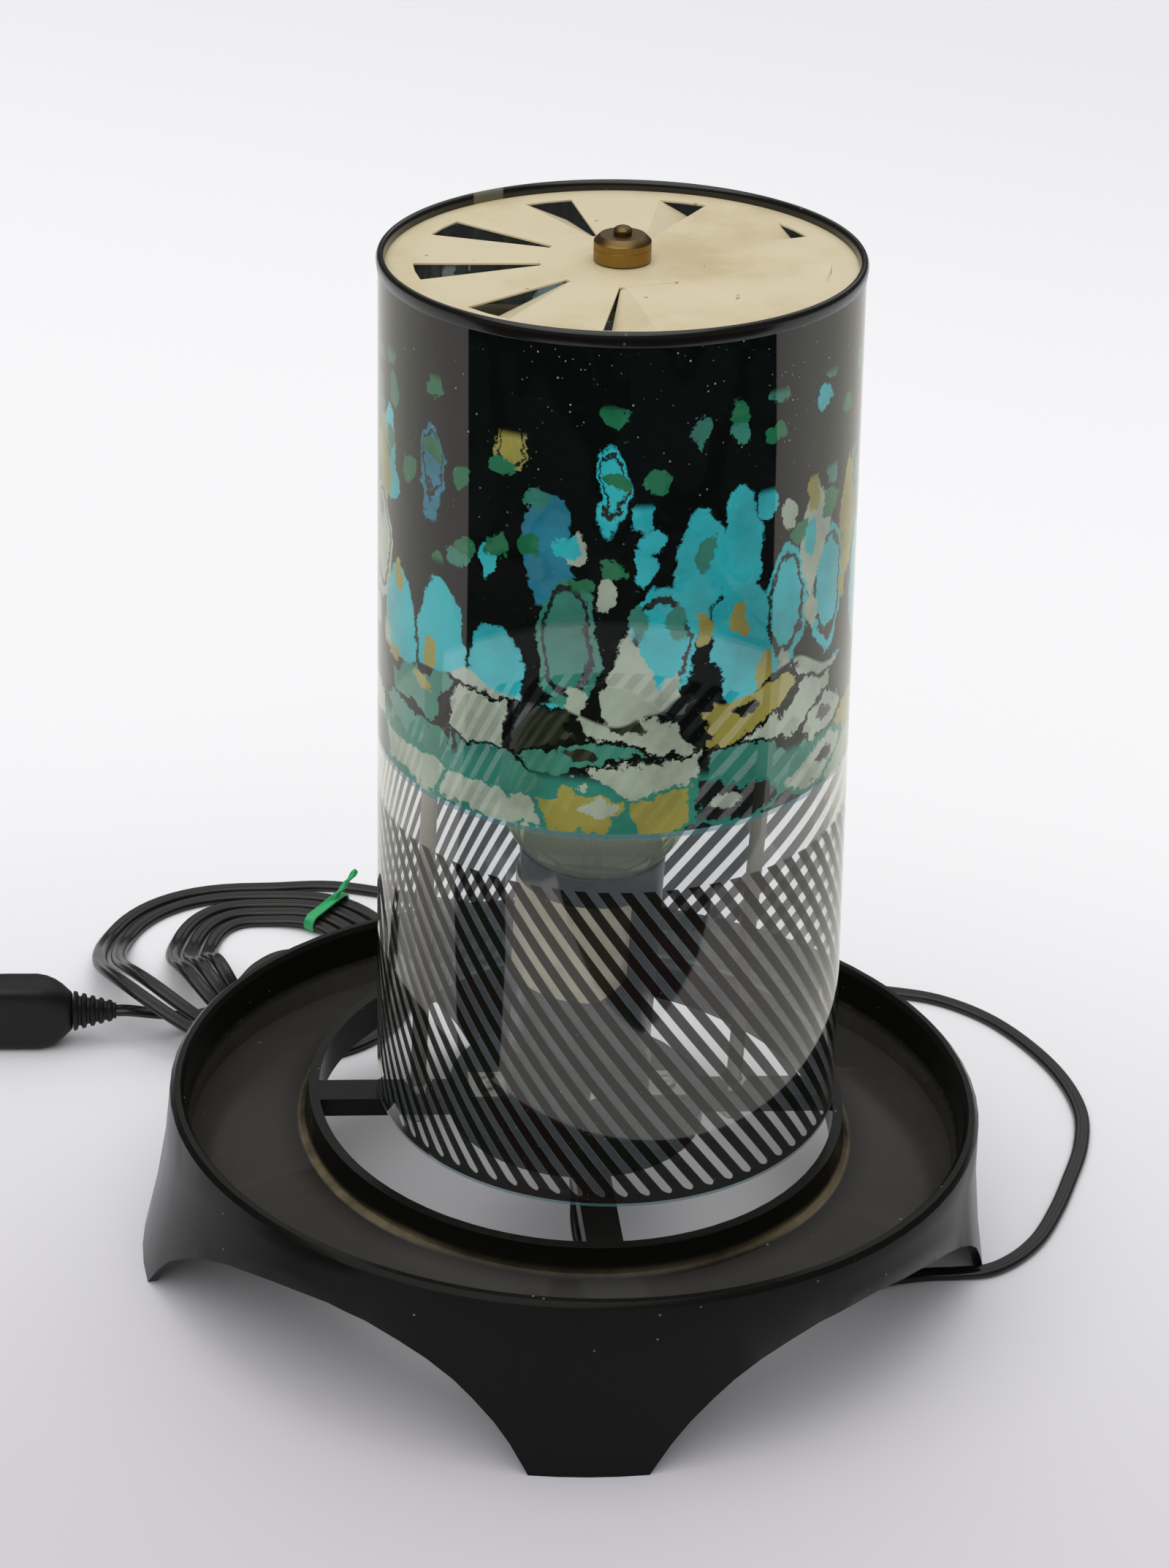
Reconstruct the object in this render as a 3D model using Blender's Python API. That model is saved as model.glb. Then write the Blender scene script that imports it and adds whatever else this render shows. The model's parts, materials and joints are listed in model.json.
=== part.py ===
"""Motion lamp: a heat-driven picture drum turning on a needle over a lamp bulb.

Metres, +Z up. The origin is on the table under the middle of the oval base, whose feet and
spokes lie along X and Y. The front of the lamp faces -Y.
"""
import math

import bmesh
import bpy
from mathutils import Matrix, Vector

# Clearances and cuts shared by all the pieces
touch_gap = 0.0003            # between pieces that seat on each other
cut_overrun = 0.002           # how far a cutter reaches past the faces it cuts
weld_distance = 0.000001
floor_gap = 0.0001            # between the table and what lies on it

# Base moulding: an oval skirt on four feet, a tray, a collar, four spokes and a hub
rim_long = 0.129              # outer semi-axis of the rim along X
rim_short = 0.1164            # outer semi-axis of the rim along Y
rim_height = 0.062
rim_width = 0.0046
rim_round = 0.0014            # rounding of the rim's two edges
foot_spread_long = 0.009      # how far the feet stand out past the rim along X
foot_spread_short = 0.0016
skirt_wall = 0.003
arch_below_rim = 0.0167       # crown of the arch between two feet
side_foot_turn = 2.1          # degrees that the front and back feet stand towards the left
ledge_below_rim = 0.0125
ledge_width = 0.0008
tray_draft_long = 0.0007      # how far the tray's wall leans in below its ledge
tray_draft_short = 0.0042
tray_below_rim = 0.02
floor_wall = 0.0026
ring_inside_rim = 0.031       # from the rim's edge in to the collar's flat ring, along Y
ring_width = 0.0032
ring_below_rim = 0.0029
collar_fillet = 0.0026
collar_foot_below_ring = 0.0101
hub_radius = 0.041
hub_drop = 0.0001             # the hub and spokes lie this far under the ring
spoke_width = 0.0111
spoke_depth = 0.0063
hub_hole_radius = 0.0085

# Yoke that carries the needle, with its nuts
yoke_rod_radius = 0.0025
yoke_inside_drum = 0.017      # from the drum's top edge in to the legs' axes
yoke_corner = 0.012           # bend radius at the top corners
yoke_under_pivot = 0.021      # from the needle's point down to the crossbar's axis
yoke_eye_width = 0.0072       # flattened eye that holds the needle
yoke_eye_thickness = 0.0036
yoke_eye_length = 0.012
yoke_tail = 0.0015            # rod past the lower nut
nut_flats = 0.008
nut_height = 0.003

# Needle
pivot_above_ring = 0.2794     # the needle's point over the base's collar ring
pivot_offset = -0.0034        # the needle and the drum's axis stand this far to the left
needle_radius = 0.0012
needle_tip_radius = 0.0002
needle_taper = 0.0075
needle_head_radius = 0.0021
needle_head = 0.001

# Picture drum, in its own frame: its origin is the needle's point
hang_angle = math.radians(2.62)    # lean of the drum's axis against the base
drum_over_ring = 0.0059           # the drum's lower edge hangs this far over the collar ring
drum_above_pivot = -0.002         # top of the rim, counted from the needle's point
drum_top_radius = 0.0678
drum_flare = 0.0051               # how much wider the drum's foot is than its top
drum_wall = 0.0008
drum_rim_height = 0.0042
drum_rim_lip = 0.0009             # thickness of the rim's lips
disc_below_rim = 0.003
disc_thickness = 0.0006

# Turbine disc
vane_count = 9
slot_first_angle = math.radians(18.3)
slot_span = math.radians(14.3)
slot_tip_lag = math.radians(3)
slot_tip_span = math.radians(5)
slot_inside_edge = 0.0097         # from the drum's top radius in to the slots
slot_inner_radius = 0.023
vane_pitch = math.radians(25)

# Bearing cap and its jewel
cap_radius = 0.00805
cap_height = 0.006                # straight side of the cap
cap_chamfer = 0.0016
cap_button_radius = 0.00262
cap_button_height = 0.0036
spigot_radius = 0.005
staked_radius = 0.0065
staked_height = 0.0008
jewel_radius = 0.0023
jewel_above_pivot = 0.0018
jewel_below_pivot = 0.002
jewel_cup_radius = 0.0015

# Saddle, nipple and lampholder
holder_stand = 0.019              # underside of the holder above the hub
holder_radius = 0.0226
holder_height = 0.070
holder_wall = 0.0009
holder_lip = 0.0012               # rolled lip at the mouth
saddle_thickness = 0.0012
saddle_width = 0.014
saddle_leg_offset = 0.0215
saddle_foot_length = 0.013
saddle_bend = 0.002
screw_from_leg = 0.0075
screw_radius = 0.0017
screw_head_radius = 0.0031
screw_head = 0.0018
screw_tail = 0.0012
screw_nut_flats = 0.006
screw_nut_height = 0.0024
nipple_radius = 0.0048
nipple_wall = 0.0015
nipple_below_hub = 0.002
nipple_into_holder = 0.0045
locknut_flats = 0.015
locknut_height = 0.003
insulator_base = 0.0165
insulator_height = 0.044
insulator_pocket_radius = 0.009
insulator_pocket = 0.0055
screw_shell_wall = 0.0005
screw_shell_height = 0.026
contact_radius = 0.0035
contact_height = 0.0011
label_thickness = 0.0002
label_below_mouth = 0.0095        # from the holder's mouth down to the label
label_height = 0.0335
label_from = math.radians(-113)   # counted about the axis from the front, + to the right
label_to = math.radians(26)
label_cut = 0.009                 # cut corner at the label's right end

# Bulb
bulb_cap_radius = 0.013
bulb_cap_wall = 0.0004
bulb_cap_height = 0.0215
bulb_contact_radius = 0.0045
bulb_contact_height = 0.001
bulb_skirt_height = 0.0028        # glass insulator between contact and cap
bulb_radius = 0.030
bulb_mouth_room = 0.0006          # between the glass and the holder's mouth
bulb_join_angle = math.radians(-52)   # where the shoulder meets the round top
bulb_glass_wall = 0.0007
bulb_neck_depth = 0.012           # neck inside the cap
stem_radius = 0.0085
stem_height = 0.022
press_radius = 0.0032
press_height = 0.013
stem_rod_radius = 0.0012
stem_rod_height = 0.022
stem_button_radius = 0.0024
filament_wire = 0.0004
filament_reach = 0.0115
lead_foot_offset = 0.0022

# Cord, its hank, twist tie and plug
cord_radius = 0.002
hank_centre = (-0.0985, 0.1650)
hank_half_length = 0.0605
hank_half_width = 0.063
hank_turns = 4.6
hank_pitch = 0.0064               # drawn in by this much each turn
hank_fold_draw = 0.014            # how much further the later loops stay from the left end
hank_points = 24                  # per turn
hank_lift = 0.0185                # the loops ride over the plug's cord
hank_lift_at = math.radians(218)
hank_lift_span = math.radians(66)
lead_run_in = 0.03                # the lead's straight run into the hank
tie_lift = 0.0014
tie_at = math.radians(58)
tie_lift_span = math.radians(34)
tie_width = 0.004
tie_thickness = 0.0008
tie_tail_radius = 0.0013
tie_tail_length = 0.017
plug_width = 0.016
plug_height = 0.0254
plug_length = 0.036
plug_start = (-0.165, 0.121)
relief_length = 0.015
relief_radius = 0.0074
relief_tip_radius = 0.0034
blade_length = 0.0165
blade_width = 0.00635
blade_thickness = 0.0015
blade_spacing = 0.0127

# Faces round the turned pieces
fine_steps = 64
steps = 32
hidden_steps = 24
small_steps = 16
nut_steps = 12

# Values worked out from the sizes above
foot_long = rim_long + foot_spread_long
foot_short = rim_short + foot_spread_short
arch_height = rim_height - arch_below_rim
ledge_height = rim_height - ledge_below_rim
tray_height = rim_height - tray_below_rim
inner_long = rim_long - rim_width
inner_short = rim_short - rim_width
ledge_long = inner_long - ledge_width / 2
ledge_short = inner_short - ledge_width
tray_long = ledge_long - ledge_width - tray_draft_long
tray_short = ledge_short - ledge_width - tray_draft_short
ring_radius = rim_short - ring_inside_rim
ring_height = rim_height - ring_below_rim
collar_foot_radius = ring_radius + collar_fillet
collar_foot_height = ring_height - collar_foot_below_ring
pivot_height = ring_height + pivot_above_ring
hub_top = ring_height - hub_drop
hub_bottom = hub_top - spoke_depth
holder_bottom = hub_top + holder_stand
saddle_top = holder_bottom - touch_gap
rod_hole_radius = yoke_rod_radius + touch_gap
leg_offset = drum_top_radius - yoke_inside_drum
drum_foot_radius = drum_top_radius + drum_flare
slot_outer_radius = drum_top_radius - slot_inside_edge
saddle_foot_reach = saddle_leg_offset + saddle_foot_length
screw_offset = saddle_leg_offset + screw_from_leg
label_high = holder_height - label_below_mouth
label_low = label_high - label_height
disc_top = drum_above_pivot - disc_below_rim
disc_bottom = disc_top - disc_thickness
drum_bottom = (drum_over_ring - pivot_above_ring) / math.cos(hang_angle)
drum_length = drum_above_pivot - drum_bottom
bore_radius = jewel_radius + touch_gap
contact_seat = holder_bottom + insulator_base + contact_height
bulb_base = contact_seat + touch_gap
mouth_above_contact = holder_bottom + holder_height - holder_wall / 2 - bulb_base
mouth_reach = holder_radius - holder_wall - bulb_mouth_room
bulb_centre = mouth_above_contact + math.sqrt(max(bulb_radius ** 2 - mouth_reach ** 2, 0))


def remove_everything():
    for item in list(bpy.data.objects):
        bpy.data.objects.remove(item, do_unlink=True)


def material(name, colour, roughness, metallic=0.0, alpha=1.0):
    made = bpy.data.materials.new(name)
    made.use_nodes = True
    shader = made.node_tree.nodes["Principled BSDF"]
    shader.inputs["Base Color"].default_value = (*colour, 1)
    shader.inputs["Roughness"].default_value = roughness
    shader.inputs["Metallic"].default_value = metallic
    shader.inputs["Alpha"].default_value = alpha
    made.diffuse_color = (*colour, alpha)
    return made


def add(name, bm, look, parent=None, sharp=math.radians(32)):
    """Closes a bmesh into a named object with its faces outward."""
    bmesh.ops.remove_doubles(bm, verts=bm.verts, dist=weld_distance)
    bmesh.ops.recalc_face_normals(bm, faces=bm.faces)
    mesh = bpy.data.meshes.new(name)
    bm.to_mesh(mesh)
    bm.free()
    mesh.shade_smooth()
    mesh.set_sharp_from_angle(angle=sharp)
    mesh.materials.append(look)
    made = bpy.data.objects.new(name, mesh)
    bpy.context.collection.objects.link(made)
    made.parent = parent
    return made


def empty(name, place, turn=(0, 0, 0)):
    made = bpy.data.objects.new(name, None)
    made.location = place
    made.rotation_euler = turn
    bpy.context.collection.objects.link(made)
    return made


def boolean(target, tool, operation):
    """Joins or cuts with an object that stays behind as a wire guide."""
    tool.hide_render = True
    tool.display_type = "WIRE"
    step = target.modifiers.new(operation.lower(), "BOOLEAN")
    step.operation = operation
    step.solver = "EXACT"
    step.object = tool


def circle(radius, z, count, centre=(0, 0)):
    turn = 2 * math.pi / count
    return [
        Vector((centre[0] + radius * math.cos(k * turn), centre[1] + radius * math.sin(k * turn), z))
        for k in range(count)
    ]


def turned(profile, count, bm=None, centre=(0, 0), closed=False):
    """Spins a profile of (radius, height) pairs about a vertical line."""
    bm = bm or bmesh.new()
    x, y = centre
    verts = [bm.verts.new((x + r, y, z)) for r, z in profile]
    edges = [bm.edges.new(pair) for pair in zip(verts, verts[1:])]
    if closed:
        edges.append(bm.edges.new((verts[-1], verts[0])))
    bmesh.ops.spin(
        bm, geom=verts + edges, cent=(x, y, 0), axis=(0, 0, 1),
        angle=2 * math.pi, steps=count, use_merge=True,
    )
    bmesh.ops.remove_doubles(bm, verts=bm.verts, dist=weld_distance)
    return bm


def loft(rings, bm=None, joined=False):
    """Skins equal rings of points; the ends are capped unless the last ring meets the first."""
    bm = bm or bmesh.new()
    rows = [[bm.verts.new(point) for point in ring] for ring in rings]
    count = len(rows[0])
    pairs = list(zip(rows, rows[1:]))
    if joined:
        pairs.append((rows[-1], rows[0]))
    for low, high in pairs:
        for k in range(count):
            n = (k + 1) % count
            bm.faces.new((low[k], low[n], high[n], high[k]))
    if not joined:
        bm.faces.new(reversed(rows[0]))
        bm.faces.new(rows[-1])
    return bm


def prism(outline, low, high, bm=None):
    """Extrudes a flat outline of (x, y) pairs from one height to another."""
    bm = bm or bmesh.new()
    face = bm.faces.new([bm.verts.new((x, y, low)) for x, y in outline])
    raised = bmesh.ops.extrude_face_region(bm, geom=[face])
    top = [item for item in raised["geom"] if isinstance(item, bmesh.types.BMVert)]
    bmesh.ops.translate(bm, vec=(0, 0, high - low), verts=top)
    return bm


def hex_nut(flats, bore, low, height, centre, bm):
    """A hexagon nut round a vertical hole, skinned so that hexagon and bore share their angles."""
    side = math.pi / 3
    steps_per_side = nut_steps // 6
    outer = []
    for k in range(nut_steps):
        to_face = side * (k % steps_per_side / steps_per_side) - side / 2
        outer.append((2 * math.pi * k / nut_steps, flats / 2 / math.cos(to_face)))
    rings = []
    for inner, z in ((False, low), (False, low + height), (True, low + height), (True, low)):
        rings.append([
            Vector((centre[0] + (bore if inner else r) * math.cos(a),
                    centre[1] + (bore if inner else r) * math.sin(a), z))
            for a, r in outer
        ])
    return loft(rings, bm, joined=True)


def rounded_path(corners, radius, arc_steps):
    """A polyline with each inner corner replaced by an arc of the given radius."""
    path = [Vector(corners[0])]
    for before, corner, after in zip(corners, corners[1:], corners[2:]):
        corner = Vector(corner)
        into = (corner - Vector(before)).normalized()
        out = (Vector(after) - corner).normalized()
        turn = into.angle(out)
        reach = radius * math.tan(turn / 2)
        middle = corner - into * reach + (out - into * into.dot(out)).normalized() * radius
        start = corner - into * reach - middle
        axis = into.cross(out).normalized()
        for k in range(arc_steps + 1):
            path.append(middle + Matrix.Rotation(turn * k / arc_steps, 3, axis) @ start)
    path.append(Vector(corners[-1]))
    return path


def smooth_path(points, count):
    """Points at even steps along a smooth curve through the given places."""
    places = [Vector(p) for p in points]
    ends = [2 * places[0] - places[1]] + places + [2 * places[-1] - places[-2]]
    dense = []
    for a, b, c, d in zip(ends, ends[1:], ends[2:], ends[3:]):
        knots = [0]
        for p, q in ((a, b), (b, c), (c, d)):
            knots.append(knots[-1] + math.sqrt((q - p).length))
        for k in range(count):
            t = knots[1] + (knots[2] - knots[1]) * k / count
            level = [a, b, c, d]
            for span in (1, 2, 3):
                level = [
                    level[i].lerp(level[i + 1], (t - knots[max(i, i + span - 2)])
                                  / (knots[min(3, i + span)] - knots[i]))
                    if span != 2 else
                    level[i].lerp(level[i + 1], (t - knots[i]) / (knots[i + 2] - knots[i]))
                    for i in range(len(level) - 1)
                ]
            dense.append(level[0])
    dense.append(places[-1])
    return dense


def ellipse_ring(long, short, z, angles):
    return [Vector((long(a) * math.cos(a), short(a) * math.sin(a), z(a))) for a in angles]


# Shares of the arch's height, by degrees from the middle of a foot
end_foot_rise = ((0, 0), (9.9, 0), (12.9, 0.21), (16.3, 0.386), (21.5, 0.574), (27, 0.73), (32, 0.83),
                 (36.5, 0.89), (41, 0.94), (50.3, 1), (180, 1))
side_foot_rise = ((0, 0), (7.5, 0), (10.2, 0.24), (12.5, 0.4), (15.5, 0.56), (18.2, 0.68), (22, 0.8),
                  (26, 0.885), (31, 0.96), (37, 0.99), (41.8, 1), (180, 1))


def rise_share(shares, off):
    for (a, low), (b, high) in zip(shares, shares[1:]):
        if off <= b:
            return low + (high - low) * (off - a) / (b - a)
    return 1


def arch_line(angle):
    """Height of the skirt's lower edge: feet on the table, arches between them."""
    turn = math.degrees(angle) % 360
    turn = min(turn, 360 - turn)
    end_off = min(turn, 180 - turn)
    side_off = abs(turn - 90 - side_foot_turn)
    return arch_height * min(rise_share(end_foot_rise, end_off), rise_share(side_foot_rise, side_off))


def flare(z):
    """How far the skirt has spread at a height: none at the rim, all of it on the table."""
    flare_power_share = 1.6
    return (1 - z / rim_height) ** flare_power_share


def base_moulding(look):
    end_stations = (5, 9.9, 12.9, 16.3, 19, 21.5, 24.2, 27, 29.5, 32, 36.5, 41, 45.5)
    side_stations = (3.8, 7.5, 10.2, 12.5, 15.5, 18.2, 22, 26, 31, 34, 37, 41.8)
    side_foot = 90 + side_foot_turn
    half = [0, *end_stations, *(side_foot - d for d in reversed(side_stations)), side_foot,
            *(side_foot + d for d in side_stations), *(180 - d for d in reversed(end_stations[:-1]))]
    half.sort()
    angles = [math.radians(d) for d in half + [180] + [360 - d for d in reversed(half[1:])]]
    skirt_rows = 3

    def row(long, short, z):
        return ellipse_ring(lambda a: long, lambda a: short, lambda a: z, angles)

    def skirt_row(share, inset):
        def height(a):
            top = rim_height - rim_round
            return top + (arch_line(a) - top) * share
        return ellipse_ring(
            lambda a: rim_long + (foot_long - rim_long) * flare(height(a)) - inset,
            lambda a: rim_short + (foot_short - rim_short) * flare(height(a)) - inset,
            height, angles)

    ring_inner = ring_radius - ring_width
    rows = [row(rim_long - rim_round, rim_short - rim_round, rim_height)]
    rows += [skirt_row(k / skirt_rows, 0) for k in range(skirt_rows + 1)]
    rows += [
        skirt_row(1, skirt_wall),
        row(tray_long, tray_short, tray_height - floor_wall),
        row(collar_foot_radius, collar_foot_radius, collar_foot_height - floor_wall),
        row(ring_inner, ring_inner, collar_foot_height - floor_wall),
        row(ring_inner, ring_inner, ring_height),
        row(ring_radius, ring_radius, ring_height),
        row(ring_radius, ring_radius, collar_foot_height + 2 * collar_fillet),
        row(ring_radius + collar_fillet / 3, ring_radius + collar_fillet / 3,
            collar_foot_height + collar_fillet / 2),
        row(collar_foot_radius, collar_foot_radius, collar_foot_height),
        row(tray_long, tray_short, tray_height),
        row(ledge_long - ledge_width, ledge_short - ledge_width, ledge_height - ledge_width),
        row(ledge_long, ledge_short, ledge_height),
        row(inner_long, inner_short, rim_height - rim_round),
        row(inner_long + rim_round, inner_short + rim_round, rim_height),
    ]
    made = add("base_moulding", loft(rows, joined=True), look)
    boolean(made, spider(look), "UNION")
    boolean(made, base_holes(look), "DIFFERENCE")
    return made


def spider(look):
    """The hub disc and its four spokes, which end in the middle of the collar's wall."""
    half = spoke_width / 2
    lap = ring_radius - ring_width / 2
    spread = math.asin(half / hub_radius)
    arc_steps = 7
    outline = []
    for k in range(4):
        ahead = math.pi / 2 * k
        turn = Matrix.Rotation(ahead, 2)
        for x, y in ((lap, -half), (lap, half)):
            outline.append(tuple(turn @ Vector((x, y))))
        for j in range(arc_steps + 1):
            angle = ahead + spread + (math.pi / 2 - 2 * spread) * j / arc_steps
            outline.append((hub_radius * math.cos(angle), hub_radius * math.sin(angle)))
    return add("spider_guide", prism(outline, hub_bottom, hub_top), look)


def base_holes(look):
    low = hub_bottom - cut_overrun
    high = hub_top + cut_overrun
    holes = [(hub_hole_radius, 0)]
    for side in (-1, 1):
        holes.append((rod_hole_radius, side * leg_offset))
        holes.append((screw_radius + touch_gap, side * screw_offset))
    bm = bmesh.new()
    for radius, x in holes:
        loft([circle(radius, low, small_steps, (x, 0)), circle(radius, high, small_steps, (x, 0))], bm)
    return add("hole_guide", bm, look)


def yoke(look):
    """A rod bent to a square arch, its middle pressed flat to an eye for the needle."""
    top = pivot_height - yoke_under_pivot
    foot = hub_bottom - touch_gap - nut_height - yoke_tail
    corners = [(-leg_offset, 0, foot), (-leg_offset, 0, top), (leg_offset, 0, top), (leg_offset, 0, foot)]
    path = rounded_path(corners, yoke_corner, 8)
    half_eye = yoke_eye_length / 2
    middle = path.index(next(p for p in path if p.x > 0))
    for x in (half_eye, half_eye / 2, -half_eye / 2, -half_eye):
        path.insert(middle, Vector((pivot_offset + x, 0, top)))
    sides = 12
    rings = []
    for k, point in enumerate(path):
        along = (path[min(k + 1, len(path) - 1)] - path[max(k - 1, 0)]).normalized()
        across = Vector((0, 1, 0))
        normal = along.cross(across)
        in_eye = abs(point.x - pivot_offset) < half_eye * 0.9
        tall = yoke_eye_thickness / 2 if in_eye else yoke_rod_radius
        wide = yoke_eye_width / 2 if in_eye else yoke_rod_radius
        rings.append([
            point + across * wide * math.cos(a) + normal * tall * math.sin(a)
            for a in (2 * math.pi * j / sides for j in range(sides))
        ])
    made = add("yoke", loft(rings), look)
    reach = yoke_eye_thickness + cut_overrun
    hole = needle_radius + touch_gap
    boolean(made, add("needle_hole_guide", loft([
        circle(hole, top - reach, small_steps, (pivot_offset, 0)),
        circle(hole, top + reach, small_steps, (pivot_offset, 0))]), look), "DIFFERENCE")
    return made


def yoke_nuts(look):
    """A nut above and one below the spoke on each leg of the yoke."""
    levels = (("upper", hub_top + touch_gap), ("lower", hub_bottom - touch_gap - nut_height))
    for side, x in (("left", -leg_offset), ("right", leg_offset)):
        for level, low in levels:
            bm = hex_nut(nut_flats, rod_hole_radius, low, nut_height, (x, 0), bmesh.new())
            add(f"yoke_nut_{side}_{level}", bm, look)


def pivot_needle(look):
    """A pointed pin riveted into the yoke's eye."""
    eye_low = pivot_height - yoke_under_pivot - yoke_eye_thickness / 2 - touch_gap
    head_low = eye_low - needle_head
    profile = [
        (0, pivot_height),
        (needle_tip_radius, pivot_height - needle_tip_radius),
        (needle_radius, pivot_height - needle_taper),
        (needle_radius, eye_low),
        (needle_head_radius, eye_low),
        (needle_head_radius, head_low + needle_head / 2),
        (needle_radius, head_low),
        (0, head_low),
    ]
    bm = turned(profile, small_steps)
    bmesh.ops.translate(bm, vec=(pivot_offset, 0, 0), verts=bm.verts)
    return add("pivot_needle", bm, look)


def drum_radius(z):
    """Outer radius of the drum's wall at a height in the drum's frame."""
    share = (z - drum_bottom) / drum_length
    return drum_foot_radius + (drum_top_radius - drum_foot_radius) * share


def drum_tube(look, axis):
    top = drum_above_pivot - drum_rim_lip - touch_gap
    rows = 3
    heights = [top + (drum_bottom - top) * k / rows for k in range(rows + 1)]
    profile = [(drum_radius(z), z) for z in heights]
    profile += [(drum_radius(z) - drum_wall, z) for z in reversed(heights)]
    return add("drum_tube", turned(profile, fine_steps, closed=True), look, axis)


def drum_rim(look, axis):
    """A rounded channel over the drum's top edge; its inner lip rests on the disc."""
    outer_lip_low = drum_above_pivot - drum_rim_height
    outer = drum_radius(outer_lip_low) + touch_gap
    inner = drum_radius(drum_above_pivot) - drum_wall - touch_gap
    crown = drum_above_pivot
    seat = crown - drum_rim_lip
    inner_lip_low = disc_top + touch_gap
    half = (outer - inner) / 2 + drum_rim_lip
    middle = (outer + inner) / 2
    crown_steps = 4
    profile = [(inner, inner_lip_low), (inner, seat), (outer, seat), (outer, outer_lip_low),
               (outer + drum_rim_lip, outer_lip_low)]
    for k in range(crown_steps + 1):
        angle = math.pi * k / crown_steps
        profile.append((middle + half * math.cos(angle),
                        crown - 2 * drum_rim_lip + 2 * drum_rim_lip * math.sin(angle)))
    profile.append((inner - drum_rim_lip, inner_lip_low))
    return add("drum_rim", turned(profile, fine_steps, closed=True), look, axis)


def turbine_disc(look, axis):
    """Sheet disc with a ring of slots; each slot's flap is bent down along its far edge."""
    sector = 2 * math.pi / vane_count
    slot_parts = 2
    web_parts = 4
    parts = slot_parts + web_parts
    edge = drum_radius(disc_bottom) - drum_wall - touch_gap
    bore = spigot_radius + touch_gap

    def spread(first, span, rest):
        slot = [first + span * j / slot_parts for j in range(slot_parts)]
        return slot + [first + span + rest * j / web_parts for j in range(web_parts)]

    outer_angles = spread(slot_first_angle, slot_span, sector - slot_span)
    inner_angles = spread(slot_first_angle + slot_tip_lag, slot_tip_span, sector - slot_tip_span)
    count = vane_count * parts
    bm = bmesh.new()

    def chain(radius, angles):
        return [
            bm.verts.new((radius * math.cos(angles[k % parts] + sector * (k // parts)),
                          radius * math.sin(angles[k % parts] + sector * (k // parts)), disc_top))
            for k in range(count)
        ]

    rim = chain(edge, outer_angles)
    slot_out = chain(slot_outer_radius, outer_angles)
    slot_in = chain(slot_inner_radius, inner_angles)
    hole = chain(bore, inner_angles)
    for k in range(count):
        n = (k + 1) % count
        bm.faces.new((slot_out[k], rim[k], rim[n], slot_out[n]))
        bm.faces.new((hole[k], slot_in[k], slot_in[n], hole[n]))
        if k % parts >= slot_parts:
            bm.faces.new((slot_in[k], slot_out[k], slot_out[n], slot_in[n]))
    for v in range(vane_count):
        first = v * parts
        hinge_in = slot_in[first + slot_parts]
        hinge_out = slot_out[first + slot_parts]
        line = (hinge_out.co - hinge_in.co).normalized()
        bend = Matrix.Rotation(vane_pitch, 3, line)
        flap_in = [bm.verts.new(hinge_in.co + bend @ (slot_in[first + j].co - hinge_in.co))
                   for j in range(slot_parts)] + [hinge_in]
        flap_out = [bm.verts.new(hinge_in.co + bend @ (slot_out[first + j].co - hinge_in.co))
                    for j in range(slot_parts)] + [hinge_out]
        for j in range(slot_parts):
            bm.faces.new((flap_in[j], flap_out[j], flap_out[j + 1], flap_in[j + 1]))
    made = add("turbine_disc", bm, look, axis, math.radians(15))
    if made.data.polygons[0].normal.z < 0:
        made.data.flip_normals()
    sheet = made.modifiers.new("sheet", "SOLIDIFY")
    sheet.thickness = disc_thickness
    sheet.offset = -1
    return made


def bearing_cap(look, axis):
    """Turned brass cap staked through the disc, bored for the jewel and the needle."""
    seat = disc_top + touch_gap
    staked = disc_bottom - touch_gap
    top = disc_top + cap_height
    roof = jewel_above_pivot + touch_gap
    profile = [
        (0, top + cap_chamfer + cap_button_height),
        (cap_button_radius * 0.4, top + cap_chamfer + cap_button_height * 0.94),
        (cap_button_radius * 0.82, top + cap_chamfer + cap_button_height * 0.72),
        (cap_button_radius, top + cap_chamfer + cap_button_height * 0.45),
        (cap_button_radius * 0.9, top + cap_chamfer),
        (cap_radius - cap_chamfer, top + cap_chamfer),
        (cap_radius, top),
        (cap_radius, seat),
        (spigot_radius, seat),
        (spigot_radius, staked),
        (staked_radius, staked),
        (staked_radius, staked - staked_height),
        (bore_radius, staked - staked_height),
        (bore_radius, roof),
        (0, roof),
    ]
    return add("bearing_cap", turned(profile, steps), look, axis)


def bearing_jewel(look, axis):
    """Cup bearing: its hollow sits on the needle's point."""
    profile = [
        (0, jewel_above_pivot),
        (jewel_radius, jewel_above_pivot),
        (jewel_radius, -jewel_below_pivot),
        (jewel_cup_radius, -jewel_below_pivot),
        (0, touch_gap),
    ]
    return add("bearing_jewel", turned(profile, small_steps), look, axis)


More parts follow.
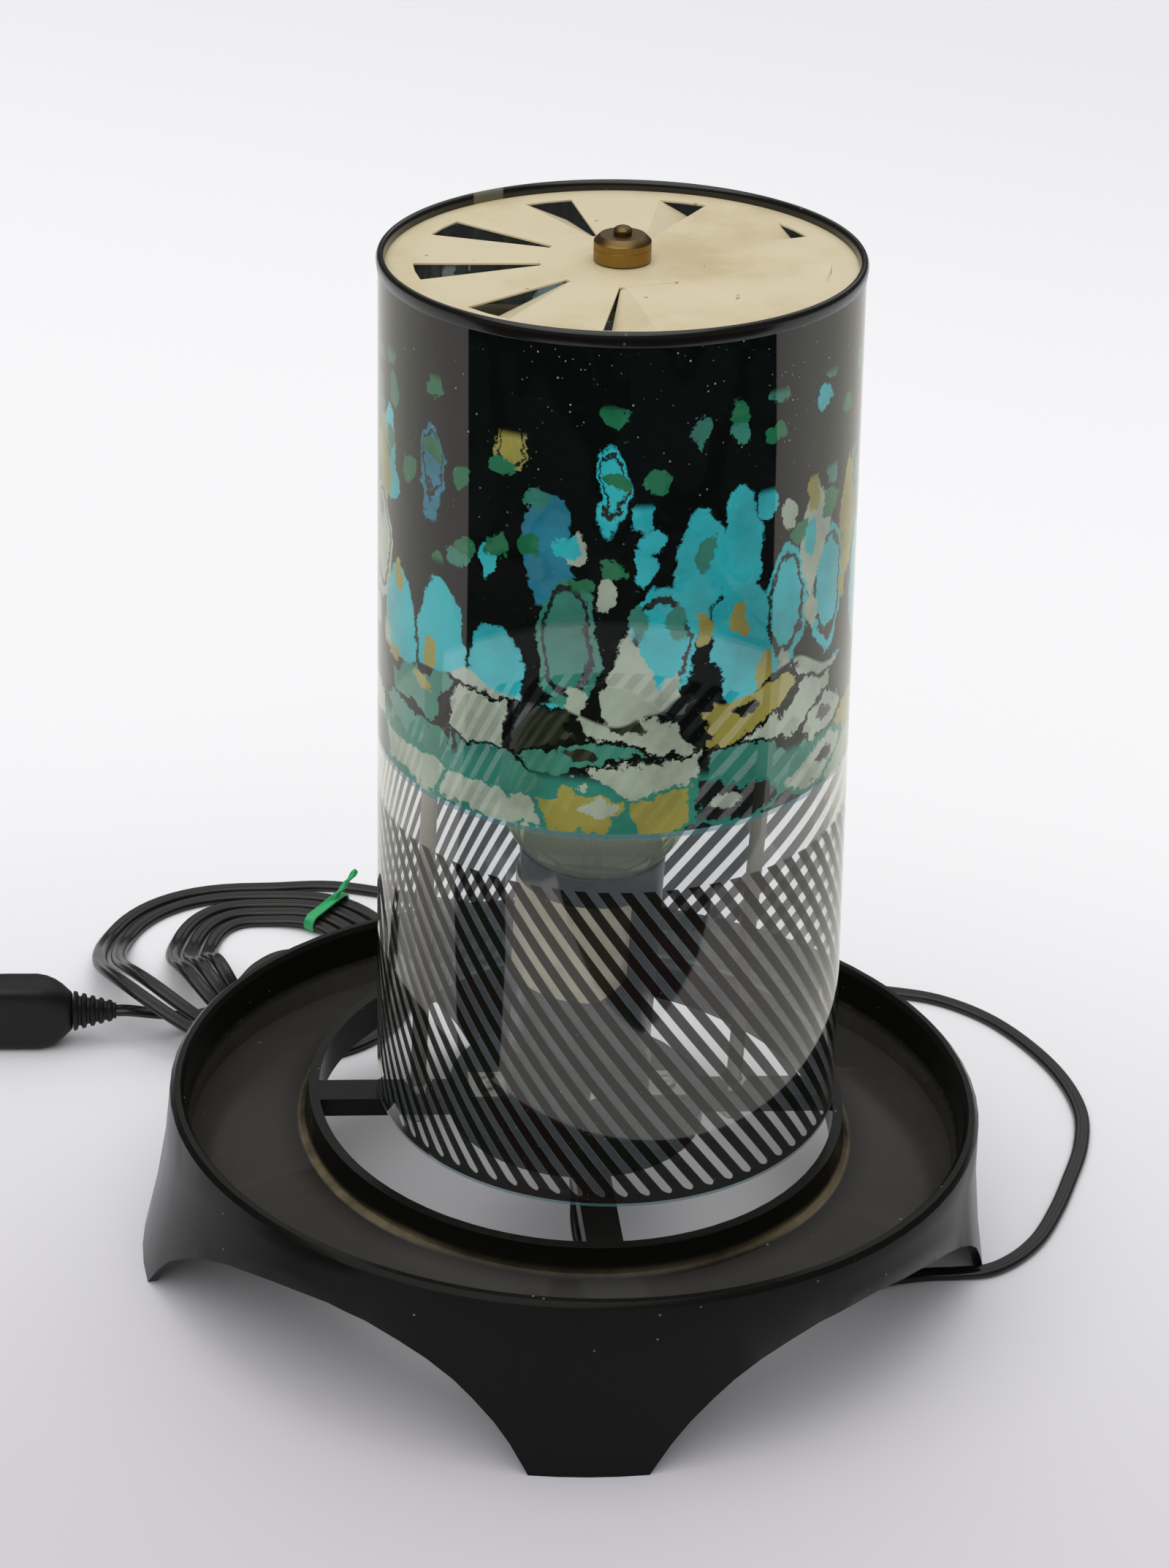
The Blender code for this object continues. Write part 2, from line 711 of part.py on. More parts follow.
def holder_saddle(look):
    """Strap bent to a bridge over the hub hole."""
    middle = saddle_top - saddle_thickness / 2
    foot = hub_top + touch_gap + saddle_thickness / 2
    corners = [
        (-saddle_foot_reach, 0, foot), (-saddle_leg_offset, 0, foot), (-saddle_leg_offset, 0, middle),
        (saddle_leg_offset, 0, middle), (saddle_leg_offset, 0, foot), (saddle_foot_reach, 0, foot),
    ]
    path = rounded_path(corners, saddle_bend, 4)
    rings = []
    for k, point in enumerate(path):
        along = (path[min(k + 1, len(path) - 1)] - path[max(k - 1, 0)]).normalized()
        normal = along.cross(Vector((0, 1, 0))) * saddle_thickness / 2
        side = Vector((0, 1, 0)) * saddle_width / 2
        rings.append([point + side + normal, point - side + normal,
                      point - side - normal, point + side - normal])
    made = add("holder_saddle", loft(rings), look)
    bm = bmesh.new()
    hole = nipple_radius + touch_gap
    loft([circle(hole, middle - cut_overrun, small_steps), circle(hole, middle + cut_overrun, small_steps)], bm)
    for side in (-1, 1):
        place = (side * screw_offset, 0)
        hole = screw_radius + touch_gap
        loft([circle(hole, foot - cut_overrun, small_steps, place),
              circle(hole, foot + cut_overrun, small_steps, place)], bm)
    boolean(made, add("saddle_hole_guide", bm, look), "DIFFERENCE")
    return made


def saddle_screws(look):
    """Pan-head screws through the saddle's feet and the hub."""
    seat = hub_top + 2 * touch_gap + saddle_thickness
    tip = hub_bottom - touch_gap - screw_nut_height - screw_tail
    for name, side in (("left", -1), ("right", 1)):
        profile = [
            (0, seat + screw_head),
            (screw_head_radius * 0.55, seat + screw_head * 0.9),
            (screw_head_radius, seat + screw_head * 0.35),
            (screw_head_radius, seat),
            (screw_radius, seat),
            (screw_radius, tip),
            (0, tip),
        ]
        bm = turned(profile, nut_steps, centre=(side * screw_offset, 0))
        add(f"saddle_screw_{name}", bm, look)


def saddle_nuts(look):
    low = hub_bottom - touch_gap - screw_nut_height
    for name, side in (("left", -1), ("right", 1)):
        bm = hex_nut(screw_nut_flats, screw_radius + touch_gap, low, screw_nut_height,
                     (side * screw_offset, 0), bmesh.new())
        add(f"saddle_nut_{name}", bm, look)


def threaded_nipple(look):
    low = hub_bottom - nipple_below_hub
    high = holder_bottom + nipple_into_holder
    inner = nipple_radius - nipple_wall
    profile = [(nipple_radius, high), (nipple_radius, low), (inner, low), (inner, high)]
    return add("threaded_nipple", turned(profile, small_steps, closed=True), look)


def nipple_locknut(look):
    low = saddle_top - saddle_thickness - touch_gap - locknut_height
    bm = hex_nut(locknut_flats, nipple_radius + touch_gap, low, locknut_height, (0, 0), bmesh.new())
    return add("nipple_locknut", bm, look)


def lampholder_shell(look):
    """Deep round cup with a rolled lip, its floor drilled for the nipple."""
    top = holder_bottom + holder_height
    inner = holder_radius - holder_wall
    floor = holder_bottom + holder_wall
    corner = 2 * holder_wall
    profile = [
        (inner + holder_wall / 2, top),
        (holder_radius, top - holder_wall / 2),
        (holder_radius, top - holder_lip),
        (holder_radius - holder_wall / 4, top - 2 * holder_lip),
        (holder_radius - holder_wall / 4, holder_bottom + corner),
        (holder_radius - corner, holder_bottom),
        (nipple_radius + touch_gap, holder_bottom),
        (nipple_radius + touch_gap, floor),
        (inner - corner, floor),
        (inner, floor + corner),
        (inner, top - holder_wall / 2),
    ]
    return add("lampholder_shell", turned(profile, steps, closed=True), look)


def lampholder_insulator(look):
    """Moulded body that fills the foot of the shell and holds the screw shell."""
    low = holder_bottom + holder_wall + touch_gap
    high = holder_bottom + insulator_height
    outer = holder_radius - holder_wall - touch_gap
    well = bulb_cap_radius + touch_gap + screw_shell_wall + touch_gap
    floor = holder_bottom + insulator_base - touch_gap
    pocket = low + insulator_pocket
    chamfer = 2 * holder_wall
    profile = [
        (0, floor),
        (well, floor),
        (well, high),
        (outer - chamfer, high),
        (outer, high - chamfer),
        (outer, low + chamfer),
        (outer - chamfer, low),
        (insulator_pocket_radius, low),
        (insulator_pocket_radius, pocket),
        (0, pocket),
    ]
    return add("lampholder_insulator", turned(profile, hidden_steps), look)


def lampholder_screw_shell(look):
    inner = bulb_cap_radius + touch_gap
    outer = inner + screw_shell_wall
    low = holder_bottom + insulator_base
    high = low + screw_shell_height
    profile = [(inner, high), (outer, high), (outer, low), (contact_radius + 4 * touch_gap, low),
               (contact_radius + 4 * touch_gap, low + screw_shell_wall), (inner, low + screw_shell_wall)]
    return add("lampholder_screw_shell", turned(profile, hidden_steps, closed=True), look)


def lampholder_contact(look):
    low = holder_bottom + insulator_base
    profile = [
        (0, contact_seat),
        (contact_radius * 0.6, contact_seat),
        (contact_radius, low + contact_height / 2),
        (contact_radius, low),
        (0, low),
    ]
    return add("lampholder_contact", turned(profile, small_steps), look)


def holder_label(look):
    """Paper label wrapped round the holder, one lower corner cut off."""
    inner = holder_radius + touch_gap
    outer = inner + label_thickness
    columns = 18
    rings = []
    for k in range(columns + 1):
        share = k / columns
        angle = label_from + (label_to - label_from) * share - math.pi / 2
        arc_left = (label_to - label_from) * (1 - share) * outer
        rise = max(0, label_cut - arc_left) * 0.8
        low = holder_bottom + label_low + rise
        high = holder_bottom + label_high
        ring = []
        for radius, z in ((inner, low), (outer, low), (outer, high), (inner, high)):
            ring.append(Vector((radius * math.cos(angle), radius * math.sin(angle), z)))
        rings.append(ring)
    return add("holder_label", loft(rings), look)


def bulb_outline():
    """Outer profile of the glass above the bulb's contact: neck, shoulder curve and round top."""
    neck = bulb_cap_radius - bulb_cap_wall - touch_gap
    cap_top = bulb_contact_height + bulb_skirt_height + bulb_cap_height
    profile = [(neck, cap_top - bulb_neck_depth), (neck, cap_top + touch_gap)]
    shoulder_steps = 5
    join_angle = bulb_join_angle
    join = Vector((bulb_radius * math.cos(join_angle), bulb_centre + bulb_radius * math.sin(join_angle)))
    start = Vector(profile[-1])
    pull = (join.y - start.y) / 2
    tangent = Vector((-math.sin(join_angle), math.cos(join_angle)))
    first = start + Vector((0, pull))
    last = join - tangent * pull
    for k in range(1, shoulder_steps + 1):
        t = k / shoulder_steps
        s = 1 - t
        point = start * s ** 3 + first * 3 * s * s * t + last * 3 * s * t * t + join * t ** 3
        profile.append((point.x, point.y))
    top_steps = 8
    for k in range(1, top_steps + 1):
        angle = join_angle + (math.pi / 2 - join_angle) * k / top_steps
        profile.append((bulb_radius * math.cos(angle), bulb_centre + bulb_radius * math.sin(angle)))
    return profile


def bulb_glass(look, axis):
    outer = bulb_outline()
    inner = []
    for k, (r, z) in enumerate(outer[:-1]):
        before = Vector(outer[max(k - 1, 0)])
        after = Vector(outer[k + 1])
        along = (after - before).normalized()
        inner.append((r - along.y * bulb_glass_wall, z + along.x * bulb_glass_wall))
    inner[0] = (inner[0][0], outer[0][1])
    inner.append((0, outer[-1][1] - bulb_glass_wall))
    outer[-1] = (0, outer[-1][1])
    profile = list(reversed(outer)) + inner
    return add("bulb_glass", turned(profile, steps), look, axis)


def bulb_cap(look, axis):
    """Metal screw cap with the glass ring and contact closing its end."""
    low = bulb_contact_height + bulb_skirt_height
    high = low + bulb_cap_height
    inner = bulb_cap_radius - bulb_cap_wall
    profile = [
        (inner, high),
        (bulb_cap_radius, high),
        (bulb_cap_radius, low + bulb_skirt_height / 2),
        (bulb_cap_radius * 0.85, low),
        (bulb_contact_radius + touch_gap, bulb_contact_height),
        (bulb_contact_radius + touch_gap, low),
        (inner, low + bulb_skirt_height / 2 + touch_gap),
    ]
    return add("bulb_cap", turned(profile, hidden_steps, closed=True), look, axis)


def bulb_contact(look, axis):
    """Round contact at the bulb's foot, on the axis that the bulb turns about."""
    low = bulb_contact_height
    profile = [
        (0, low + bulb_skirt_height),
        (bulb_contact_radius, low + bulb_skirt_height),
        (bulb_contact_radius, low - bulb_contact_height / 3),
        (bulb_contact_radius / 2, 0),
        (0, 0),
    ]
    return add("bulb_contact", turned(profile, small_steps), look, axis)


def stem_foot():
    return bulb_contact_height + bulb_skirt_height + bulb_cap_height - bulb_neck_depth


def bulb_stem(look, axis):
    """Glass mount: flared tube, pressed neck and a rod with a button."""
    foot = stem_foot()
    neck_bore = bulb_cap_radius - bulb_cap_wall - touch_gap - bulb_glass_wall - touch_gap
    press = foot + stem_height
    rod = press + press_height
    tip = rod + stem_rod_height
    profile = [
        (0, tip),
        (stem_button_radius * 0.8, tip - stem_button_radius / 2),
        (stem_button_radius, tip - stem_button_radius),
        (stem_rod_radius, tip - 2 * stem_button_radius),
        (stem_rod_radius, rod + stem_rod_radius),
        (press_radius, rod),
        (press_radius, press),
        (stem_radius * 0.8, press - press_height / 2),
        (stem_radius, press - press_height),
        (stem_radius, foot + press_radius),
        (neck_bore, foot),
        (0, foot),
    ]
    return add("bulb_stem", turned(profile, small_steps), look, axis)


def bulb_filament(look, axis):
    """Lead wires from the press and the filament hung between them, as one wire."""
    loop_height_share = 0.72
    press_top = stem_foot() + stem_height + press_height + stem_rod_radius + touch_gap + filament_wire
    loop_height = press_top + stem_rod_height * loop_height_share
    arc_steps = 14
    straight = 3 * filament_wire
    corners = [Vector((-lead_foot_offset, 0, press_top)),
               Vector((-lead_foot_offset, 0, press_top + straight))]
    for k in range(arc_steps + 1):
        angle = math.pi + math.pi * k / arc_steps
        corners.append(Vector((filament_reach * math.cos(angle), filament_reach * math.sin(angle),
                               loop_height)))
    corners += [Vector((lead_foot_offset, 0, press_top + straight)),
                Vector((lead_foot_offset, 0, press_top))]
    return wire("bulb_filament", corners, filament_wire, look, 1, axis)


def wire(name, points, radius, look, resolution, parent=None):
    """A round tube along a list of points, with filled ends."""
    curve = bpy.data.curves.new(name, "CURVE")
    curve.dimensions = "3D"
    curve.bevel_depth = radius
    curve.bevel_resolution = resolution
    curve.use_fill_caps = True
    spline = curve.splines.new("POLY")
    spline.points.add(len(points) - 1)
    for place, point in zip(spline.points, points):
        place.co = (*point, 1)
    curve.materials.append(look)
    made = bpy.data.objects.new(name, curve)
    bpy.context.collection.objects.link(made)
    made.parent = parent
    return made


def cord_height():
    return cord_radius + floor_gap


def window(angle, centre, span):
    """A smooth bump that is 1 at the centre and 0 outside the span."""
    off = (angle - centre + math.pi) % (2 * math.pi) - math.pi
    if abs(off) > span:
        return 0
    return math.cos(off / span * math.pi / 2) ** 2


def hank_point(turn):
    """A point of the hank after so many turns from the middle of its far side."""
    angle = math.pi / 2 + 2 * math.pi * turn
    inset = hank_pitch * turn
    late = min(max(turn - 1.15, 0), 1)
    draw = hank_fold_draw * late * late * (3 - 2 * late) * max(-math.cos(angle), 0)
    squareness_share = 0.86
    c, s = math.cos(angle), math.sin(angle)
    x = math.copysign(abs(c) ** squareness_share, c)
    y = math.copysign(abs(s) ** squareness_share, s)
    lift = hank_lift * window(angle, hank_lift_at, hank_lift_span)
    lift += tie_lift * window(angle, tie_at, tie_lift_span)
    return Vector((
        hank_centre[0] + (hank_half_length - inset) * x + draw,
        hank_centre[1] + (hank_half_width - inset) * y,
        cord_height() + lift,
    ))


def hank_line():
    """The hank's points, both ends drawn out straight for one cord diameter."""
    count = round(hank_turns * hank_points)
    points = [hank_point(hank_turns * k / count) for k in range(count + 1)]
    first = (points[0] - points[1]).normalized() * 2 * cord_radius
    last = (points[-1] - points[-2]).normalized() * 2 * cord_radius
    return [points[0] + first] + points + [points[-1] + last]


def cord_hank(look):
    points = hank_line()
    least = min(
        (a - b).length - 2 * cord_radius
        for i, a in enumerate(points) for j, b in enumerate(points) if j - i > hank_points // 2
    )
    print(f"least gap of the hank to itself {least:.5f}")
    return wire("cord_hank", points, cord_radius, look, 1)


def cord_lead(look):
    """From the nipple under the hub, out beside the right foot and round behind the base."""
    z = cord_height()
    start = hub_bottom - nipple_below_hub - touch_gap
    hank = hank_line()
    away = (hank[0] - hank[1]).normalized()
    end = hank[0] + away * touch_gap
    route = [
        (0, 0, start), (0, 0, start - 2 * cord_radius), (0.0004, -0.0022, 0.0335), (0.0012, -0.0078, 0.0190),
        (0.0035, -0.0175, 0.0082), (0.0095, -0.029, 0.0034), (0.0205, -0.0385, z), (0.037, -0.044, z),
        (0.057, -0.0446, z), (0.079, -0.0375, z), (0.099, -0.0285, z), (0.115, -0.0255, z),
        (0.127, -0.0250, z), (0.137, -0.0238, z), (0.147, -0.0180, z), (0.1575, -0.0075, z),
        (0.168, 0.009, z), (0.1765, 0.0255, z), (0.1855, 0.045, z), (0.191, 0.066, z),
        (0.190, 0.088, z), (0.183, 0.110, z),
        (0.171, 0.130, z), (0.155, 0.143, z), (0.136, 0.149, z), (0.110, 0.154, z), (0.080, 0.163, z),
        (0.050, 0.177, z), (0.020, 0.194, z), (-0.008, 0.209, z), (-0.034, 0.2185, z),
    ]
    route += [tuple(end + away * lead_run_in), tuple(end + away * 2 * cord_radius), tuple(end)]
    points = smooth_path(route, 2)
    points = points[:1] + [p for p in points[1:-1] if p.z >= z - floor_gap / 2] + points[-1:]
    return wire("cord_lead", points, cord_radius, look, 2)


def cord_tail(look):
    """From the hank's inner end, round inside the loops and under them to the plug."""
    hank = hank_line()
    away = (hank[-1] - hank[-2]).normalized()
    start = hank[-1] + away * touch_gap
    z = cord_height()
    axis_height = plug_height / 2 + floor_gap
    relief_end = plug_start[0] + relief_length + touch_gap
    y = plug_start[1]
    route = [
        tuple(start), tuple(start + away * 2 * cord_radius), (-0.0694, 0.1545, z), (-0.0696, 0.1670, z),
        (-0.0775, 0.1765, z), (-0.0895, 0.1770, z), (-0.0985, 0.1690, z), (-0.1050, 0.1565, z),
        (-0.1110, 0.1440, z + 0.0004), (-0.1180, 0.1340, z + 0.0018), (-0.1265, 0.1270, 0.0070),
        (-0.1360, 0.1228, 0.0104), (relief_end + 2 * cord_radius, y, axis_height),
        (relief_end, y, axis_height),
    ]
    points = smooth_path(route, 3)
    return wire("cord_tail", points, cord_radius, look, 2)


def hank_tie(look):
    """Twist tie round the loops on the hank's far side, its ends twisted together."""
    first_turn = 1 + (tie_at - math.pi / 2) / (2 * math.pi)
    last_turn = first_turn + int(hank_turns) - 1
    outer = hank_point(first_turn)
    inner = hank_point(last_turn)
    middle = (outer + inner) / 2
    across = (outer - inner).normalized()
    along_cord = across.cross(Vector((0, 0, 1)))
    up = Vector((0, 0, 1))
    slack = cord_radius + 2 * touch_gap
    half = (outer - inner).length / 2
    arc_steps = 6
    rings = []
    for side, grow in ((-1, 0), (-1, tie_thickness), (1, tie_thickness), (1, 0)):
        ring = []
        for end in (1, -1):
            for k in range(arc_steps + 1):
                angle = end * (math.pi / 2 - math.pi * k / arc_steps)
                ring.append(middle + along_cord * side * tie_width / 2
                            + across * end * (half + (slack + grow) * math.cos(angle))
                            + up * (slack + grow) * math.sin(angle))
        rings.append(ring)
    made = add("hank_tie", loft(rings, joined=True), look)
    boolean(made, tie_tail(middle + across * half * 0.4 + up * (slack + tie_thickness / 2), look), "UNION")
    return made


def tie_tail(root, look):
    """The tie's twisted ends, which stand up behind the loops."""
    reach_shares = (0.55, 0.5, 0.5)
    tail_steps = 9
    tail_sides = 8
    tip = root + Vector(reach_shares) * tie_tail_length
    along = (tip - root).normalized()
    side = along.cross(Vector((0, 0, 1))).normalized()
    rise = along.cross(side)
    rings = []
    for k in range(tail_steps + 1):
        centre = root.lerp(tip, k / tail_steps)
        twist = 2.5 * math.pi * k / tail_steps
        ring = []
        for j in range(tail_sides):
            a = 2 * math.pi * j / tail_sides
            flat = tie_tail_radius * (0.75 + 0.25 * math.cos(2 * (a - twist)))
            ring.append(centre + side * flat * math.cos(a) + rise * flat * math.sin(a))
        rings.append(ring)
    return add("tie_tail_guide", loft(rings), look)


def squircle(x, half_wide, half_high, centre, count, power_share=0.55):
    """A rounded-rectangle ring square to X."""
    ring = []
    for k in range(count):
        a = 2 * math.pi * k / count
        c, s = math.cos(a), math.sin(a)
        ring.append(Vector((
            x,
            centre[0] + half_wide * math.copysign(abs(c) ** power_share, c),
            centre[1] + half_high * math.copysign(abs(s) ** power_share, s),
        )))
    return ring


def plug_centre():
    return (plug_start[1], plug_height / 2 + floor_gap)


def plug_body(look):
    """Moulded two-blade plug lying on its narrow side."""
    stations_shares = ((0, 0.58, 0.56), (0.04, 0.66, 0.62), (0.12, 0.84, 0.8), (0.22, 0.95, 0.94),
                       (0.34, 1, 1), (0.9, 1, 1), (0.97, 0.97, 0.98), (1, 0.9, 0.94))
    rings = []
    for along, wide, high in stations_shares:
        rings.append(squircle(plug_start[0] - touch_gap - plug_length * along, plug_width / 2 * wide,
                              plug_height / 2 * high, plug_centre(), hidden_steps))
    made = add("plug_body", loft(rings), look)
    bm = bmesh.new()
    face = plug_start[0] - touch_gap - plug_length
    depth = blade_root()
    for side in (-1, 1):
        z = plug_centre()[1] + side * blade_spacing / 2
        box(face - cut_overrun, face + depth + touch_gap,
            plug_centre()[0], blade_width / 2 + touch_gap, z, blade_thickness / 2 + touch_gap, bm)
    boolean(made, add("blade_slot_guide", bm, look), "DIFFERENCE")
    return made


def blade_root():
    """How deep the blades are set in the plug."""
    return plug_length / 4


def box(x0, x1, y, half_y, z, half_z, bm):
    return loft([
        [Vector((x, y + a * half_y, z + b * half_z)) for a, b in ((-1, -1), (1, -1), (1, 1), (-1, 1))]
        for x in (x0, x1)
    ], bm)


def plug_blades(look):
    face = plug_start[0] - touch_gap - plug_length
    for name, side in (("lower", -1), ("upper", 1)):
        z = plug_centre()[1] + side * blade_spacing / 2
        bm = box(face - blade_length, face + blade_root(), plug_centre()[0], blade_width / 2,
                 z, blade_thickness / 2, bmesh.new())
        add(f"plug_blade_{name}", bm, look)


def plug_strain_relief(look):
    """Tapered sleeve with ribs between the plug and its cord."""
    rib_count = 5
    groove_share = 0.82
    y, z = plug_centre()
    rings = []
    stations = []
    for k in range(rib_count):
        for part, share in ((0.0, 1), (0.55, 1), (0.62, groove_share), (0.93, groove_share)):
            stations.append(((k + part) / rib_count, share))
    stations[-2:] = [(1, 1)]
    for along, share in stations:
        radius = (relief_radius + (relief_tip_radius - relief_radius) * along) * share
        x = plug_start[0] + relief_length * along
        rings.append([Vector((x, y + radius * 0.8 * math.cos(a), z + radius * math.sin(a)))
                      for a in (2 * math.pi * j / small_steps for j in range(small_steps))])
    return add("plug_strain_relief", loft(rings), look)


def build():
    remove_everything()
    black_moulding = material("black_moulding", (0.012, 0.012, 0.013), 0.3)
    cream_rod = material("cream_rod", (0.72, 0.66, 0.5), 0.4)
    steel = material("steel", (0.55, 0.55, 0.56), 0.3, 1)
    brass = material("brass", (0.72, 0.52, 0.2), 0.3, 1)
    clear_print = material("clear_print", (0.55, 0.68, 0.6), 0.15, 0, 0.5)
    rim_black = material("rim_black", (0.015, 0.015, 0.015), 0.2)
    cream_sheet = material("cream_sheet", (0.78, 0.74, 0.6), 0.45)
    jewel_glass = material("jewel_glass", (0.6, 0.1, 0.12), 0.1)
    zinc = material("zinc", (0.6, 0.58, 0.52), 0.35, 1)
    phenolic = material("phenolic", (0.02, 0.02, 0.02), 0.4)
    porcelain = material("porcelain", (0.85, 0.84, 0.8), 0.25)
    paper = material("paper", (0.78, 0.74, 0.56), 0.7)
    glass = material("glass", (0.9, 0.93, 0.9), 0.05, 0, 0.25)
    tungsten = material("tungsten", (0.3, 0.3, 0.32), 0.4, 1)
    cord_black = material("cord_black", (0.02, 0.02, 0.02), 0.4)
    tie_green = material("tie_green", (0.02, 0.35, 0.1), 0.45)

    base_moulding(black_moulding)
    yoke(cream_rod)
    yoke_nuts(steel)
    pivot_needle(steel)

    drum_axis = empty("drum_axis", (pivot_offset, 0, pivot_height), (0, -hang_angle, 0))
    drum_tube(clear_print, drum_axis)
    drum_rim(rim_black, drum_axis)
    turbine_disc(cream_sheet, drum_axis)
    bearing_cap(brass, drum_axis)
    bearing_jewel(jewel_glass, drum_axis)

    holder_saddle(zinc)
    saddle_screws(steel)
    saddle_nuts(steel)
    threaded_nipple(zinc)
    nipple_locknut(zinc)
    lampholder_shell(phenolic)
    lampholder_insulator(porcelain)
    lampholder_screw_shell(brass)
    lampholder_contact(brass)
    holder_label(paper)

    bulb_axis = empty("bulb_axis", (0, 0, bulb_base))
    bulb_glass(glass, bulb_axis)
    bulb_cap(brass, bulb_axis)
    bulb_contact(steel, bulb_axis)
    bulb_stem(glass, bulb_axis)
    bulb_filament(tungsten, bulb_axis)

    cord_lead(cord_black)
    cord_hank(cord_black)
    cord_tail(cord_black)
    hank_tie(tie_green)
    plug_strain_relief(cord_black)
    plug_body(cord_black)
    plug_blades(brass)


build()
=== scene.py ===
"""Looks of the motion lamp: camera, cord, printed drum, glass, metals, mouldings and light."""
import json
import math

import bmesh
import bpy
from mathutils import Matrix, Vector

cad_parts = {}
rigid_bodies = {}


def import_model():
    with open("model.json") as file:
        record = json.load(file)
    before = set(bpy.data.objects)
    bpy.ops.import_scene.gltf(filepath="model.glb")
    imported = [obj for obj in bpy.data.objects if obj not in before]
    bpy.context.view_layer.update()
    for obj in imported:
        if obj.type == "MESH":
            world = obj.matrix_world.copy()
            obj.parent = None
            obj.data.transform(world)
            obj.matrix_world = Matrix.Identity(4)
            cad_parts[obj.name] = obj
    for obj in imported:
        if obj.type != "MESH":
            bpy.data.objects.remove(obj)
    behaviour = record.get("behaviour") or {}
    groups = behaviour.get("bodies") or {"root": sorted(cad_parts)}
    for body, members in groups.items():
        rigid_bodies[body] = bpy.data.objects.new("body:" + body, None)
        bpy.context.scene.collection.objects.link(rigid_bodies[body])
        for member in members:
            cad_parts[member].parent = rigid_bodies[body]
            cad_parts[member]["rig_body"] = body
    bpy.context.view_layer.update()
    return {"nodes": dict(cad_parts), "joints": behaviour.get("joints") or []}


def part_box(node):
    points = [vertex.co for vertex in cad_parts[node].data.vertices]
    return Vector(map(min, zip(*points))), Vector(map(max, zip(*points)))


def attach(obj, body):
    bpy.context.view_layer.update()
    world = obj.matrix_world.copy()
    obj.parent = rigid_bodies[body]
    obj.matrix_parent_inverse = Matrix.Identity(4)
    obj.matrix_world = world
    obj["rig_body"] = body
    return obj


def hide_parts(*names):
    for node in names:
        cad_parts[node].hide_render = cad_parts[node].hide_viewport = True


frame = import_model()

mm = 0.001

# Camera, as the photograph was taken
camera_place = (-0.1142, -0.7981, 0.5923)
camera_bearing = math.radians(7.866)      # to the right of straight back
camera_dip = math.radians(27.72)
camera_roll = math.radians(3.83)
camera_lens = 68.93
camera_film = 36

# The drum's own frame: origin at the needle's point, +Z along the axis it turns about
spin = next(joint for joint in frame["joints"] if joint["name"] == "drum_spin")
drum_frame = (Matrix.Translation(spin["pos_m"])
              @ Vector((0, 0, 1)).rotation_difference(Vector(spin["axis"])).to_matrix().to_4x4())
drum_bottom = -273.7 * mm
drum_top = -2 * mm
drum_foot_radius = 72.9 * mm
drum_top_radius = 67.8 * mm
film_wall = 0.35 * mm

# Bands printed on the drum, as heights above its lower edge
edge_tint_top = 0.9 * mm
stripes_low = 3.4 * mm                     # the clear gaps between stripes start here, in a dark hem
stripes_high = 107 * mm
picture_line = (124 * mm, 125.5 * mm)
stripe_count = 68
stripe_rise = 104                          # turns of stripe per metre of height
stripe_duty = 0.56
print_edge = 0.1 * mm                      # softness of every printed edge
skin_tint = (1, 0.98, 0.86)                # colour of what the clear sheet reflects

# Cord
cord_width = 5.5 * mm
cord_lobe = 1.42 * mm
cord_waist = 0.9 * mm                      # half thickness in the groove between the two wires
cord_settle = 0.6 * mm                     # the flat cord lies lower than its round solid


class Value:
    """A shader socket that takes part in Python sums; each sum adds its Math node."""

    def __init__(self, finish, socket):
        self.finish = finish
        self.socket = socket

    def math(self, operation, *values):
        return self.finish.math(operation, *values)

    def __add__(self, other):
        return self.math("ADD", self, other)

    __radd__ = __add__

    def __sub__(self, other):
        return self.math("SUBTRACT", self, other)

    def __rsub__(self, other):
        return self.math("SUBTRACT", other, self)

    def __mul__(self, other):
        return self.math("MULTIPLY", self, other)

    __rmul__ = __mul__

    def __truediv__(self, other):
        return self.math("DIVIDE", self, other)

    def __lt__(self, other):
        return self.math("LESS_THAN", self, other)

    def __gt__(self, other):
        return self.math("GREATER_THAN", self, other)

    def fract(self):
        return self.math("FRACT", self)

    def size(self):
        return self.math("ABSOLUTE", self)

    def at_most(self, other):
        return self.math("MINIMUM", self, other)

    def at_least(self, other):
        return self.math("MAXIMUM", self, other)

    def step(self, low, high):
        """0 below low, 1 above high, smooth between them."""
        return self.finish.node("ShaderNodeMapRange", {"interpolation_type": "SMOOTHSTEP"},
                                {"Value": self, "From Min": low, "From Max": high})

    def between(self, low, high, edge=0.1 * mm):
        return self.step(low - edge, low + edge) * (1 - self.step(high - edge, high + edge))


